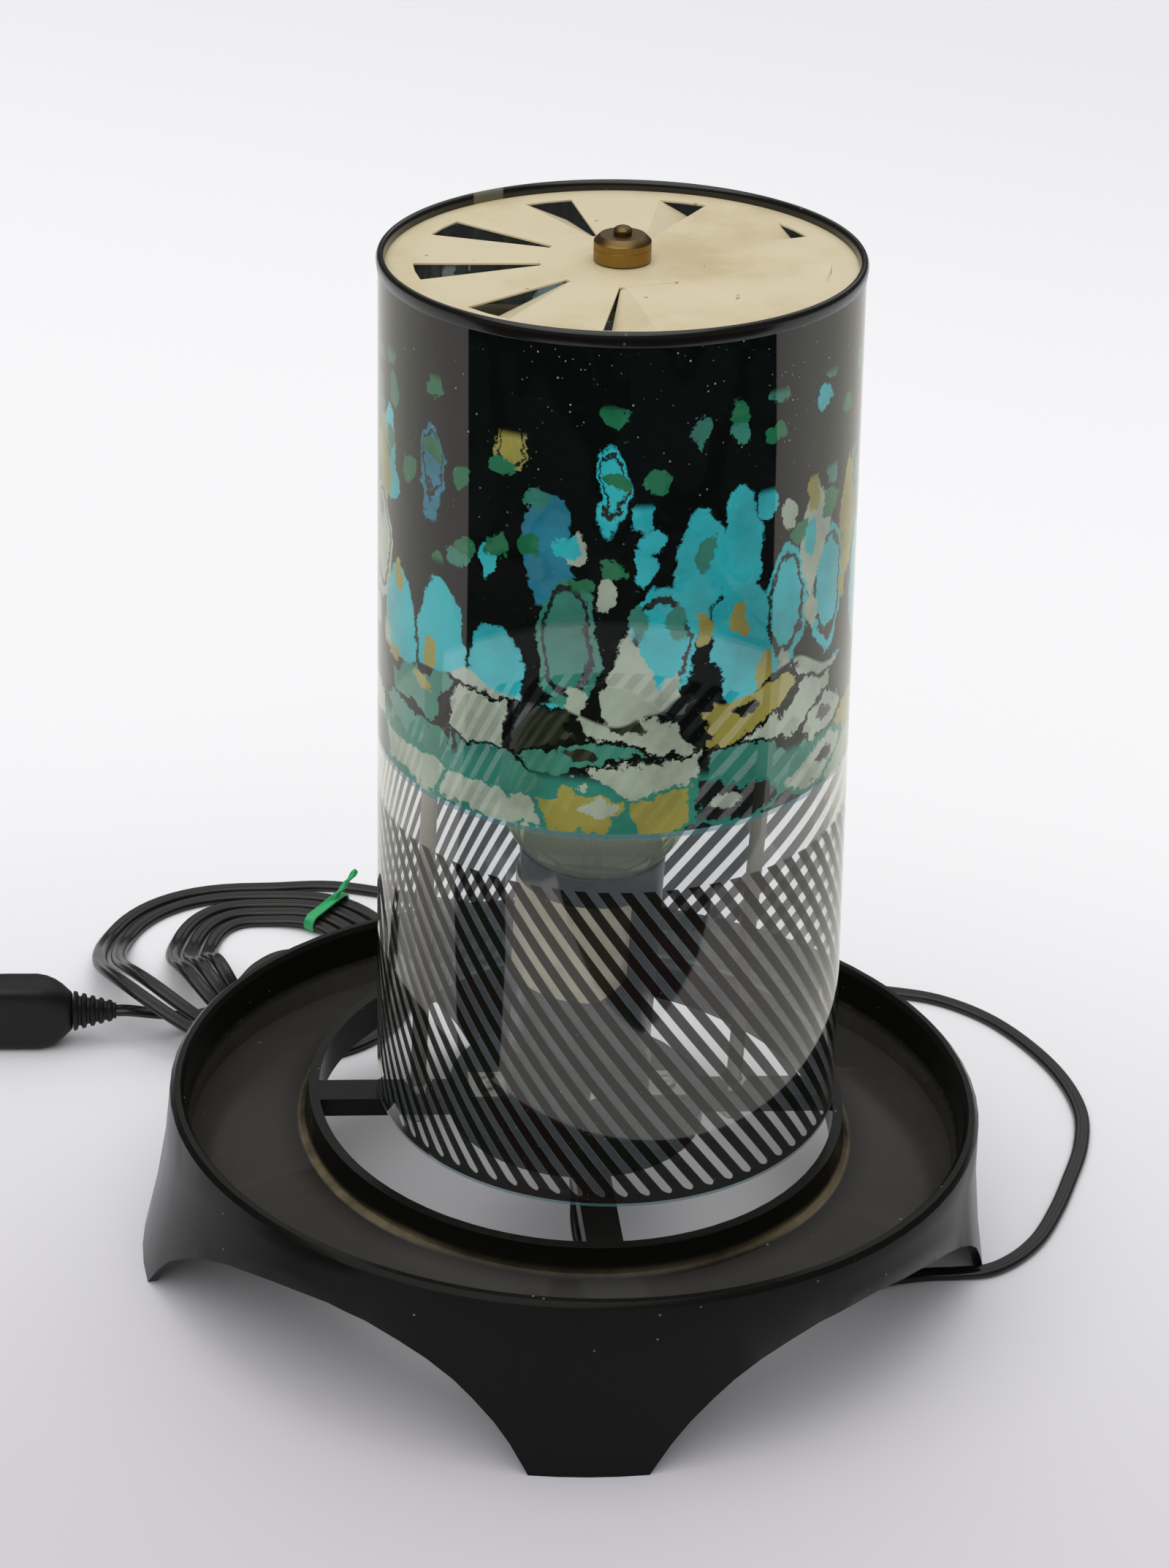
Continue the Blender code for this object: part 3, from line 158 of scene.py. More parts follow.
class Finish:
    """A Principled material that is put together node by node."""

    def __init__(self, name, colour, roughness, **constants):
        self.made = bpy.data.materials.new(name)
        self.made.use_nodes = True
        self.tree = self.made.node_tree
        self.shader = self.tree.nodes["Principled BSDF"]
        self.set("Base Color", colour)
        self.set("Roughness", roughness)
        for socket, value in constants.items():
            self.set(socket.replace("_", " "), value)

    def set(self, socket, value):
        self.feed(self.shader.inputs[socket], value)

    def feed(self, socket, value):
        if isinstance(value, Value):
            self.tree.links.new(value.socket, socket)
        elif hasattr(socket.default_value, "__len__") and len(socket.default_value) == 4:
            socket.default_value = (*value[:3], 1)
        else:
            socket.default_value = value

    def node(self, kind, settings=None, inputs=(), output=0):
        made = self.tree.nodes.new(kind)
        for name, value in (settings or {}).items():
            if name == "stops":
                self.set_stops(made.color_ramp, value)
            else:
                setattr(made, name, value)
        pairs = inputs.items() if isinstance(inputs, dict) else enumerate(inputs)
        for name, value in pairs:
            self.feed(made.inputs[name], value)
        return Value(self, made.outputs[output])

    def set_stops(self, ramp, stops):
        while len(ramp.elements) < len(stops):
            ramp.elements.new(1)
        for element, (place, colour) in zip(ramp.elements, stops):
            element.position = place
            element.color = (*colour, 1)

    def math(self, operation, *values):
        return self.node("ShaderNodeMath", {"operation": operation}, values)

    def mix(self, share, one, other):
        return self.node("ShaderNodeMix", {"data_type": "RGBA"}, {0: share, 6: one, 7: other}, 2)

    def place(self):
        return self.node("ShaderNodeTexCoord", output="Object")

    def parts(self, vector):
        split = self.tree.nodes.new("ShaderNodeSeparateXYZ")
        self.feed(split.inputs[0], vector)
        return [Value(self, socket) for socket in split.outputs]

    def stretched(self, scale, place=None):
        return self.node("ShaderNodeMapping", {}, {"Vector": place or self.place(), "Scale": scale})

    def noise(self, scale, detail=3, roughness=0.55, place=None):
        return self.node("ShaderNodeTexNoise", {}, {
            "Vector": place or self.place(), "Scale": scale, "Detail": detail, "Roughness": roughness})

    def speckle(self, cells, reach, rarity=0.7):
        """Small dots: 1 in them and 0 between, in a few of the cells."""
        found = self.node("ShaderNodeTexVoronoi", {}, {"Vector": self.place(), "Scale": cells})
        chance = Value(self, found.socket.node.outputs["Color"])
        return (found < reach) * (self.parts(chance)[0] > rarity)

    def skin(self, roughness, straight=0.04):
        """Lays a clear reflecting skin over the finish, also where that is see-through."""
        over = self.tree.nodes.new("ShaderNodeBsdfPrincipled")
        for socket, value in (("Base Color", skin_tint), ("Metallic", 1), ("Roughness", roughness)):
            self.feed(over.inputs[socket], value)
        slant = self.node("ShaderNodeLayerWeight", {}, {"Blend": 0.5}, "Facing")
        glance = straight + self.math("POWER", slant, 5) * (1 - straight)
        layered = self.node("ShaderNodeMixShader", {}, {
            0: glance, 1: Value(self, self.shader.outputs[0]), 2: Value(self, over.outputs[0])})
        self.tree.links.new(layered.socket, self.tree.nodes["Material Output"].inputs["Surface"])

    def bump(self, height, strength, distance):
        self.set("Normal", self.node("ShaderNodeBump", {}, {
            "Strength": strength, "Distance": distance, "Height": height}))


def piece(name, bm, finishes, body, slot, *nodes, place=None, sharp=35):
    """Makes a bmesh into a finished piece of the lamp that rides on a body."""
    if place is not None:
        bmesh.ops.transform(bm, matrix=place, verts=bm.verts)
    mesh = bpy.data.meshes.new(name)
    bm.to_mesh(mesh)
    bm.free()
    mesh.shade_smooth()
    mesh.set_sharp_from_angle(angle=math.radians(sharp))
    for finish in finishes if isinstance(finishes, list) else [finishes]:
        mesh.materials.append(finish.made)
    made = bpy.data.objects.new(name, mesh)
    bpy.context.scene.collection.objects.link(made)
    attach(made, body)
    if nodes:
        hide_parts(*nodes)
    return made


def turned(profile, count=128, closed=False):
    """Spins a profile of (radius, height) pairs about the vertical axis."""
    bm = bmesh.new()
    verts = [bm.verts.new((r, 0, z)) for r, z in profile]
    edges = [bm.edges.new(pair) for pair in zip(verts, verts[1:])]
    if closed:
        edges.append(bm.edges.new((verts[-1], verts[0])))
    bmesh.ops.spin(bm, geom=verts + edges, cent=(0, 0, 0), axis=(0, 0, 1),
                   angle=2 * math.pi, steps=count, use_merge=True)
    bmesh.ops.remove_doubles(bm, verts=bm.verts, dist=0.001 * mm)
    bmesh.ops.recalc_face_normals(bm, faces=bm.faces)
    return bm


def merged(node):
    """A clean copy of a CAD node's mesh: triangles joined and flat ones dissolved."""
    bm = bmesh.new()
    bm.from_mesh(frame["nodes"][node].data)
    bmesh.ops.remove_doubles(bm, verts=bm.verts, dist=0.002 * mm)
    bmesh.ops.dissolve_limit(bm, angle_limit=math.radians(0.6), verts=bm.verts, edges=bm.edges)
    return bm


def refined(node, finish, slot, bevel=0, sharp=35):
    """The CAD node with clean edges, each broken by a small bevel when a bevel is given."""
    body = frame["nodes"][node]["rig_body"]
    made = piece(node + "_finished", merged(node), finish, body, slot, node, sharp=sharp)
    if bevel:
        edges = made.modifiers.new("edges", "BEVEL")
        edges.width = bevel
        edges.segments = 2
        edges.limit_method = "ANGLE"
        edges.angle_limit = math.radians(sharp)
        edges.harden_normals = True
    return made


# Camera

def take_camera():
    lens = bpy.data.cameras.new("camera")
    lens.sensor_fit = "VERTICAL"
    lens.sensor_height = camera_film
    lens.lens = camera_lens
    lens.clip_start = 0.01
    made = bpy.data.objects.new("camera", lens)
    bpy.context.scene.collection.objects.link(made)
    made.matrix_world = (Matrix.Translation(camera_place)
                         @ Matrix.Rotation(-camera_bearing, 4, "Z")
                         @ Matrix.Rotation(math.pi / 2 - camera_dip, 4, "X")
                         @ Matrix.Rotation(camera_roll, 4, "Z"))
    bpy.context.scene.camera = made


# Cord: the route of the three cord solids, as one flat twin cord

def smooth_path(points, count):
    """Points at even steps along a smooth curve through the given places."""
    places = [Vector(p) for p in points]
    ends = [2 * places[0] - places[1]] + places + [2 * places[-1] - places[-2]]
    dense = []
    for a, b, c, d in zip(ends, ends[1:], ends[2:], ends[3:]):
        knots = [0]
        for p, q in ((a, b), (b, c), (c, d)):
            knots.append(knots[-1] + math.sqrt((q - p).length))
        for k in range(count):
            t = knots[1] + (knots[2] - knots[1]) * k / count
            first = [p.lerp(q, (t - knots[i]) / (knots[i + 1] - knots[i]))
                     for i, (p, q) in enumerate(((a, b), (b, c), (c, d)))]
            second = [first[i].lerp(first[i + 1], (t - knots[i]) / (knots[i + 2] - knots[i]))
                      for i in range(2)]
            dense.append(second[0].lerp(second[1], (t - knots[1]) / (knots[2] - knots[1])))
    dense.append(places[-1])
    return dense


cord_height = 2.1 * mm
hank_centre = (-98.5 * mm, 165 * mm)
hank_half_length = 60.5 * mm
hank_half_width = 63 * mm
hank_turns = 4.6
hank_pitch = 6.4 * mm
hank_fold_draw = 14 * mm
hank_lift = 18.5 * mm
tie_lift = 1.4 * mm


def window(angle, centre, span):
    """A smooth bump that is 1 at the centre and 0 outside the span."""
    off = (angle - centre + math.pi) % (2 * math.pi) - math.pi
    return 0 if abs(off) > span else math.cos(off / span * math.pi / 2) ** 2


def hank_point(turn):
    """A point of the hank after so many turns from the middle of its far side."""
    angle = math.pi / 2 + 2 * math.pi * turn
    inset = hank_pitch * turn
    late = min(max(turn - 1.15, 0), 1)
    draw = hank_fold_draw * late * late * (3 - 2 * late) * max(-math.cos(angle), 0)
    squareness_share = 0.86
    c, s = math.cos(angle), math.sin(angle)
    x = math.copysign(abs(c) ** squareness_share, c)
    y = math.copysign(abs(s) ** squareness_share, s)
    lift = hank_lift * window(angle, math.radians(218), math.radians(66))
    lift += tie_lift * window(angle, math.radians(58), math.radians(34))
    return Vector((hank_centre[0] + (hank_half_length - inset) * x + draw,
                   hank_centre[1] + (hank_half_width - inset) * y, cord_height + lift))


def cord_route():
    """The whole cord's centreline, from under the hub to its plug."""
    z = cord_height
    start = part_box("cord_lead")[1].z
    per_turn = 72
    count = round(hank_turns * per_turn)
    hank = [hank_point(hank_turns * k / count) for k in range(count + 1)]
    into = (hank[0] - hank[1]).normalized()
    out = (hank[-1] - hank[-2]).normalized()
    relief_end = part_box("plug_strain_relief")[1]
    axis_height = (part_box("plug_body")[0].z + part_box("plug_body")[1].z) / 2
    axis_depth = (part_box("plug_body")[0].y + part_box("plug_body")[1].y) / 2
    lead = [
        (0, 0, start), (0, 0, start - 4 * mm), (0.0004, -0.0022, 0.0335), (0.0012, -0.0078, 0.0190),
        (0.0035, -0.0175, 0.0082), (0.0095, -0.029, 0.0034), (0.0205, -0.0385, z), (0.037, -0.044, z),
        (0.057, -0.0446, z), (0.079, -0.0375, z), (0.099, -0.0285, z), (0.115, -0.0255, z),
        (0.127, -0.0250, z), (0.137, -0.0238, z), (0.147, -0.0180, z), (0.1575, -0.0075, z),
        (0.168, 0.009, z), (0.1765, 0.0255, z), (0.1855, 0.045, z), (0.191, 0.066, z),
        (0.190, 0.088, z), (0.183, 0.110, z),
        (0.171, 0.130, z), (0.155, 0.143, z), (0.136, 0.149, z), (0.110, 0.154, z), (0.080, 0.163, z),
        (0.050, 0.177, z), (0.020, 0.194, z), (-0.008, 0.209, z), (-0.034, 0.2185, z),
        tuple(hank[0] + into * 30 * mm), tuple(hank[0] + into * 6 * mm), tuple(hank[0]),
    ]
    tail = [
        tuple(hank[-1]), tuple(hank[-1] + out * 6 * mm), (-0.0694, 0.1545, z), (-0.0696, 0.1670, z),
        (-0.0775, 0.1765, z), (-0.0895, 0.1770, z), (-0.0985, 0.1690, z), (-0.1050, 0.1565, z),
        (-0.1110, 0.1440, z + 0.0004), (-0.1180, 0.1340, z + 0.0018), (-0.1265, 0.1270, 0.0070),
        (-0.1360, 0.1228, 0.0104), (relief_end.x + 4 * mm, axis_depth, axis_height),
        (relief_end.x, axis_depth, axis_height),
    ]
    route = smooth_path(lead, 6)[:-1] + hank + smooth_path(tail, 6)[1:]
    settled = [p - Vector((0, 0, cord_settle)) if p.z < 9 * mm else p for p in route[:-8]]
    return settled + route[-8:]


def cord_section():
    """Half of a figure of eight, as (across, up) pairs: two round lobes and a groove."""
    count = 24
    points = []
    for k in range(count):
        angle = 2 * math.pi * k / count
        across = cord_width / 2 * math.cos(angle)
        lobe_centre = cord_width / 2 - cord_lobe
        off = abs(across) - lobe_centre
        depth = max(math.sqrt(max(cord_lobe ** 2 - off ** 2, 0)), cord_waist if off < 0 else 0)
        points.append((across, math.copysign(depth, math.sin(angle))))
    return points


def flat_cord(finish):
    route = cord_route()
    section = cord_section()
    bm = bmesh.new()
    rows = []
    side = Vector((0, 1, 0))
    for k, point in enumerate(route):
        along = (route[min(k + 1, len(route) - 1)] - route[max(k - 1, 0)]).normalized()
        level = along.cross(Vector((0, 0, 1)))
        if level.length > 0.5:
            level.normalize()
            side = side.lerp(level, 0.3) if side.dot(level) > 0 else side.lerp(-level, 0.3)
        side = (side - along * side.dot(along)).normalized()
        up = side.cross(along)
        rows.append([bm.verts.new(point + side * x + up * y) for x, y in section])
    for low, high in zip(rows, rows[1:]):
        for j, corner in enumerate(low):
            n = (j + 1) % len(low)
            bm.faces.new((corner, low[n], high[n], high[j]))
    bm.faces.new(rows[0])
    bm.faces.new(rows[-1])
    bmesh.ops.recalc_face_normals(bm, faces=bm.faces)
    made = piece("cord", bm, finish, "base", "cord", "cord_lead", "cord_hank", "cord_tail", sharp=70)
    length = sum((a - b).length for a, b in zip(route, route[1:]))
    return made, route, length


def ringed(stations, centre, finish, name, slot, node):
    """A sleeve along X from (x, half width, half height, squareness) stations."""
    bm = bmesh.new()
    count = 40
    rows = []
    for x, wide, high, power in stations:
        row = []
        for k in range(count):
            a = 2 * math.pi * k / count
            c, s = math.cos(a), math.sin(a)
            row.append(bm.verts.new((x, centre[0] + wide * math.copysign(abs(c) ** power, c),
                                     centre[1] + high * math.copysign(abs(s) ** power, s))))
        rows.append(row)
    loops = []
    for row in rows:
        loops.append([bm.edges.new((row[k], row[(k + 1) % count])) for k in range(count)])
    for low, high in zip(loops, loops[1:]):
        bmesh.ops.bridge_loops(bm, edges=low + high)
    bm.faces.new(rows[0])
    bm.faces.new(rows[-1])
    bmesh.ops.recalc_face_normals(bm, faces=bm.faces)
    return piece(name, bm, finish, "base", slot, node, sharp=50)


def plug(finish):
    low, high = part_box("plug_body")
    centre = ((low.y + high.y) / 2, (low.z + high.z) / 2)
    wide, tall, long = (high.y - low.y) / 2, (high.z - low.z) / 2, high.x - low.x
    shares = ((0, 0.5, 0.5, 0.8), (0.01, 0.56, 0.55, 0.75), (0.04, 0.66, 0.62, 0.7),
              (0.1, 0.8, 0.76, 0.6), (0.17, 0.9, 0.88, 0.52), (0.25, 0.97, 0.96, 0.46),
              (0.34, 1, 1, 0.42), (0.6, 0.99, 1, 0.4),
              (0.9, 0.98, 0.99, 0.4), (0.97, 0.95, 0.97, 0.4), (0.995, 0.9, 0.94, 0.42),
              (1, 0.86, 0.9, 0.42))
    stations = [(high.x - long * along, wide * w, tall * h, p) for along, w, h, p in shares]
    return ringed(stations, centre, finish, "plug", "plug", "plug_body")


def strain_relief(finish):
    low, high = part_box("plug_strain_relief")
    centre = ((low.y + high.y) / 2, (low.z + high.z) / 2)
    wide, tall = (high.y - low.y) / 2, (high.z - low.z) / 2
    rib_count = 5
    taper_share = 0.54
    stations = []
    for k in range(rib_count):
        for part, share in ((0.02, 0.94), (0.1, 1), (0.45, 1), (0.55, 0.93), (0.62, 0.8), (0.9, 0.8)):
            along = (k + part) / rib_count
            reach = (1 - taper_share * along) * share
            stations.append((low.x + (high.x - low.x) * along, wide * reach, tall * reach, 0.9))
    stations.append((high.x, wide * (1 - taper_share), tall * (1 - taper_share), 0.9))
    return ringed(stations, centre, finish, "strain_relief", "plug", "plug_strain_relief")


def make_cord():
    black = cord_finish()
    moulded = moulding_finish("plug_black", 0.42)
    made, route, length = flat_cord(black)
    on_it = [plug(moulded), strain_relief(moulded),
             refined("hank_tie", tie_finish(), "tie", sharp=50)]
    for node in ("plug_blade_upper", "plug_blade_lower"):
        brass = metal_finish("blade_brass", (0.66, 0.5, 0.24), 0.3)
        on_it.append(refined(node, brass, "blades", 0.15 * mm))


# Finishes

def cord_finish():
    made = Finish("cord_black", (0.009, 0.0085, 0.007), 0.32, Specular_IOR_Level=0.3, Coat_Weight=0.25,
                  Coat_Roughness=0.14)
    worn = made.noise(90, 4)
    made.set("Roughness", 0.24 + worn * 0.22)
    made.bump(made.noise(420, 3), 0.12, 0.2 * mm)
    return made


def moulding_finish(name, roughness):
    made = Finish(name, (0.009, 0.009, 0.0085), roughness, Specular_IOR_Level=0.25)
    worn = made.noise(60, 5)
    made.set("Roughness", roughness - 0.1 + worn * 0.2)
    made.bump(made.noise(900, 3), 0.15, 0.1 * mm)
    return made


def tie_finish():
    made = Finish("tie_green", (0.01, 0.33, 0.09), 0.4)
    ribbed = made.noise(700, 3)
    # The green is darker where the rib bump is low: painted shade in the grooves.
    made.set("Base Color", made.mix(ribbed, (0.006, 0.22, 0.05), (0.02, 0.5, 0.16)))
    made.bump(ribbed, 0.4, 0.2 * mm)
    return made


def metal_finish(name, colour, roughness, spread=0.14, grain=(700, 700, 60)):
    """Metal with a fine grain and slight tarnish."""
    made = Finish(name, colour, roughness, Metallic=1)
    grained = made.noise(1, 4, 0.6, made.stretched(grain))
    tarnish = made.noise(120, 4)
    dark = tuple(c * 0.45 for c in colour)
    made.set("Base Color", made.mix(tarnish.step(0.45, 0.8) * 0.7, colour, dark))
    made.set("Roughness", roughness - spread / 2 + grained * spread)
    made.bump(grained, 0.1, 0.05 * mm)
    return made


def base_finish():
    """Glossy black moulding with scuffs; dust at the collar's foot, with a painted highlight at its left
    and right; dust film in the tray, with a painted sheen.
    """
    # settled is the tray's lighter tone: partly a dust film, partly a painted sheen in place of the
    # tray's reflection of the room.
    black, settled, dust_colour = (0.006, 0.006, 0.005), (0.038, 0.035, 0.029), (0.33, 0.27, 0.15)
    collar_radius = 85 * mm
    rim_half = (129 * mm, 116.4 * mm)
    made = Finish("base_black", black, 0.22, Specular_IOR_Level=0.12)
    x, y, z = made.parts(made.place())
    out = made.math("SQRT", x * x + y * y)
    oval = made.math("SQRT", x * x / rim_half[0] ** 2 + y * y / rim_half[1] ** 2)
    haze = made.noise(14, 6, 0.62)
    fine = made.noise(260, 5, 0.7)
    side = (x.size() / out.at_least(1 * mm)).step(0.45, 0.9)
    collar = ((out - side * 1.5 * mm).between(collar_radius, collar_radius + 2.2 * mm, 0.6 * mm)
              * z.between(46 * mm, 51.5 * mm, 1.2 * mm))
    ledge = z.between(48.6 * mm, 49.8 * mm, 0.4 * mm) * oval.between(0.88, 0.965, 0.01)
    tray = (z.between(39 * mm, 48.5 * mm, 1.5 * mm) * out.step(collar_radius, collar_radius + 3 * mm)
            * (1 - oval.step(0.955, 0.97)))
    # The collar's dust ring is real dust; its extra strength at the left and right (side) is a painted
    # highlight on the collar's fillet.
    dusty = (collar * (0.25 + fine * 0.5) * haze.step(0.3, 0.65) * (0.3 + side * 0.7)
             + tray * fine.step(0.55, 0.9) * 0.06 + ledge * fine.step(0.5, 0.9) * 0.12)
    specks = made.speckle(330, 0.13, 0.95) * z.step(38 * mm, 42 * mm)
    dust = (dusty + specks * 0.5).at_most(1)
    # The tray is painted lighter: partly a dust film, partly a painted sheen in place of its reflection
    # of the room.
    tray_dust_and_sheen = tray * (0.75 + haze.step(0.4, 0.8) * 0.25)
    clean = made.mix(tray_dust_and_sheen.at_most(1), black, settled)
    made.set("Base Color", made.mix(dust, clean, dust_colour))
    made.set("Roughness", 0.15 + haze * 0.16 + dust * 0.5)
    made.bump(haze * 0.6 + fine * 0.15, 0.05, 1.2 * mm)
    return made


def enamel_finish(name, colour, roughness):
    made = Finish(name, colour, roughness)
    aged = made.noise(26, 6, 0.6)
    pale = tuple(min(c * 1.06, 1) for c in colour)
    stained = tuple(c * f for c, f in zip(colour, (0.86, 0.8, 0.66)))
    marks = made.speckle(160, 0.1, 0.85)
    base = made.mix(aged.step(0.4, 0.75), pale, stained)
    made.set("Base Color", made.mix(marks * 0.6, base, (0.2, 0.15, 0.08)))
    made.set("Roughness", roughness - 0.06 + aged * 0.18)
    made.bump(made.noise(130, 4), 0.08, 0.3 * mm)
    return made


def glass_finish(name, colour, roughness=0.02, clear=1):
    made = Finish(name, colour, roughness, Transmission_Weight=clear, IOR=1.45)
    made.set("Roughness", made.noise(80, 3).step(0.55, 0.9) * 0.06 + roughness)
    return made


def paper_finish():
    """Plain label paper, yellowed with age."""
    made = Finish("label_paper", (0.6, 0.56, 0.38), 0.75)
    aged = made.noise(70, 6, 0.6)
    made.set("Base Color", made.mix(aged.step(0.35, 0.75), (0.66, 0.62, 0.44), (0.45, 0.4, 0.24)))
    made.bump(made.noise(900, 4), 0.2, 0.1 * mm)
    return made


def print_finish():
    """The drum's clear sheet with its printed bands, stripes and picture."""
    ink, sheet_haze, line_blue = (0.003, 0.0045, 0.004), (0.45, 0.52, 0.55), (0.06, 0.26, 0.3)
    dust_colour = (0.5, 0.5, 0.42)
    made = Finish("drum_print", ink, 0.5, Specular_IOR_Level=0)
    made.skin(0.04, 0.075)
    around, height, _ = made.parts(made.node("ShaderNodeUVMap", {"uv_map": "sheet"}))

    phase = (around * stripe_count + height * stripe_rise).fract()
    off = (phase - 0.5).size() * 2
    gap = off.step(stripe_duty - 0.05, stripe_duty + 0.05)
    gap_edge = ((1 - off) / (1 - stripe_duty)).at_most(1)
    gap_end = gap_edge * gap_edge * 1.3 * mm
    open_gap = gap * (height - gap_end).step(stripes_low - print_edge, stripes_low + print_edge)
    dark = ((1 - open_gap) * height.step(edge_tint_top - print_edge, edge_tint_top + print_edge)
            * (1 - height.step(stripes_high - print_edge, stripes_high + print_edge)))
    head = height.between(*picture_line, 2 * print_edge)
    tint = 1 - height.step(edge_tint_top - 2 * print_edge, edge_tint_top + print_edge)

    colour, cover = picture(made, height, ink)
    shown = height.step(picture_line[1] - print_edge, picture_line[1] + print_edge)
    haze = made.noise(35, 5)
    brown = made.mix(haze.step(0.4, 0.6), (0.011, 0.007, 0.006), (0.008, 0.01, 0.006))
    striped = made.mix(tint.at_least(head), made.mix(dark, sheet_haze, brown), line_blue)
    veil = (0.03 + haze * 0.05 + dark * 0.9 + head * 0.5 + tint * 0.5).at_most(0.97)
    cluster = made.noise(22, 3).step(0.42, 0.62)
    specks = (made.speckle(900, 0.17, 0.9) * cluster).at_least(made.speckle(560, 0.16, 0.93))
    dusty = specks * (0.2 + height.step(200 * mm, 255 * mm) * 0.8)
    bare = made.mix(shown, striped, colour)
    made.set("Base Color", made.mix(dusty * 0.7, bare, dust_colour))
    made.set("Alpha", (veil * (1 - shown) + cover * shown).at_least(dusty * 0.6))
    return made


def picture(made, height, ink):
    """Bubbles rising from a bed of pebbles, in blue, green, olive and cream on black."""
    blue, deep, teal = (0.03, 0.56, 0.6), (0.02, 0.25, 0.36), (0.04, 0.27, 0.19)
    olive, cream, green = (0.4, 0.36, 0.07), (0.46, 0.55, 0.42), (0.015, 0.2, 0.08)
    chart = made.node("ShaderNodeUVMap", {"uv_map": "sheet"})
    flat = made.stretched((2 * math.pi * drum_foot_radius, 1, 1), chart)
    ripple = made.node("ShaderNodeTexNoise", {}, {
        "Vector": flat, "Scale": 55, "Detail": 7, "Roughness": 0.72}, "Color")
    bent = made.node("ShaderNodeVectorMath", {"operation": "MULTIPLY_ADD"},
                     {0: ripple, 1: (0.014, 0.02, 0), 2: flat})
    low = picture_line[1]
    rise = (height - low) / (drum_top - drum_bottom - low)

    def cells(scale, stretch, shift, feature="F1"):
        spot = made.node("ShaderNodeMapping", {}, {"Vector": bent, "Scale": stretch, "Location": shift})
        found = made.node("ShaderNodeTexVoronoi", {"feature": feature, "voronoi_dimensions": "2D"},
                          {"Vector": spot, "Scale": scale, "Randomness": 0.8})
        picks = None if feature != "F1" else made.parts(Value(made, found.socket.node.outputs["Color"]))
        return found, picks

    def painted(pick, stops):
        ramp = made.node("ShaderNodeValToRGB", {"stops": stops}, [pick])
        ramp.socket.node.color_ramp.interpolation = "CONSTANT"
        return ramp

    bubble, bubble_pick = cells(50, (1, 0.46, 1), (0, 0, 0))
    reach = 0.5 - rise.step(0.35, 0.8) * 0.28
    inside = (1 - bubble.step(reach - 0.02, reach + 0.01)) * (1 - rise.step(0.78, 0.8))
    ring = bubble.step(reach * 0.68, reach * 0.72) * (1 - bubble.step(reach * 0.8, reach * 0.84))
    lit = painted(bubble_pick[0], [
        (0, blue), (0.36, deep), (0.46, blue), (0.76, teal), (0.86, cream), (0.93, olive)])
    sky = made.mix(inside, ink, made.mix(ring * (bubble_pick[1] > 0.55), lit, ink))

    drop, drop_pick = cells(105, (1, 0.6, 1), (0.4, 0.2, 0))
    small = (1 - drop.step(0.3, 0.34)) * (drop_pick[0] > 0.66) * (1 - rise.step(0.66, 0.68))
    drop_tint = painted(drop_pick[1], [(0, cream), (0.35, olive), (0.6, blue), (0.85, teal)])
    chip, chip_pick = cells(105, (0.8, 0.95, 1), (0.7, 0.5, 0))
    fleck = (1 - chip.step(0.3, 0.34)) * (chip_pick[0] > 0.55) * rise.between(0.5, 0.86, 0.01)
    chip_tint = painted(chip_pick[1], [(0, green), (0.75, teal), (0.93, blue)])
    sky = made.mix(fleck, made.mix(small, sky, drop_tint), chip_tint)

    gap, _ = cells(70, (0.5, 1.15, 1), (0.1, 0.3, 0), "DISTANCE_TO_EDGE")
    pebble, pebble_pick = cells(70, (0.5, 1.15, 1), (0.1, 0.3, 0))
    patch = made.noise(60, 3).step(0.5, 0.62)
    bed_line = (gap - patch * 0.12).step(0.03, 0.06)
    stone = painted(pebble_pick[0], [
        (0, cream), (0.16, ink), (0.34, olive), (0.54, blue), (0.64, cream), (0.76, teal), (0.9, olive)])
    core = 1 - pebble.step(0.16, 0.2)
    heart = painted(pebble_pick[2], [(0, cream), (0.4, olive), (0.7, ink)])
    stone = made.mix(core * (pebble_pick[1] > 0.6), stone, heart)
    bed = made.mix(bed_line, made.mix(rise.step(0.1, 0.13), teal, ink), stone)

    swell = made.noise(26, 2)
    above = (rise + swell * 0.3).step(0.42, 0.43)
    uneven = made.noise(45, 4).step(0.35, 0.75)
    colour = made.mix(uneven * 0.4, made.mix(above, bed, sky), ink)
    bright = (inside.at_least(small).at_least(fleck) * above + bed_line * (1 - above)).at_most(1)
    return colour, 0.985 - bright * 0.1


# Drum

def drum_radius(z):
    share = (z - drum_bottom) / (drum_top - drum_bottom)
    return drum_foot_radius + (drum_top_radius - drum_foot_radius) * share


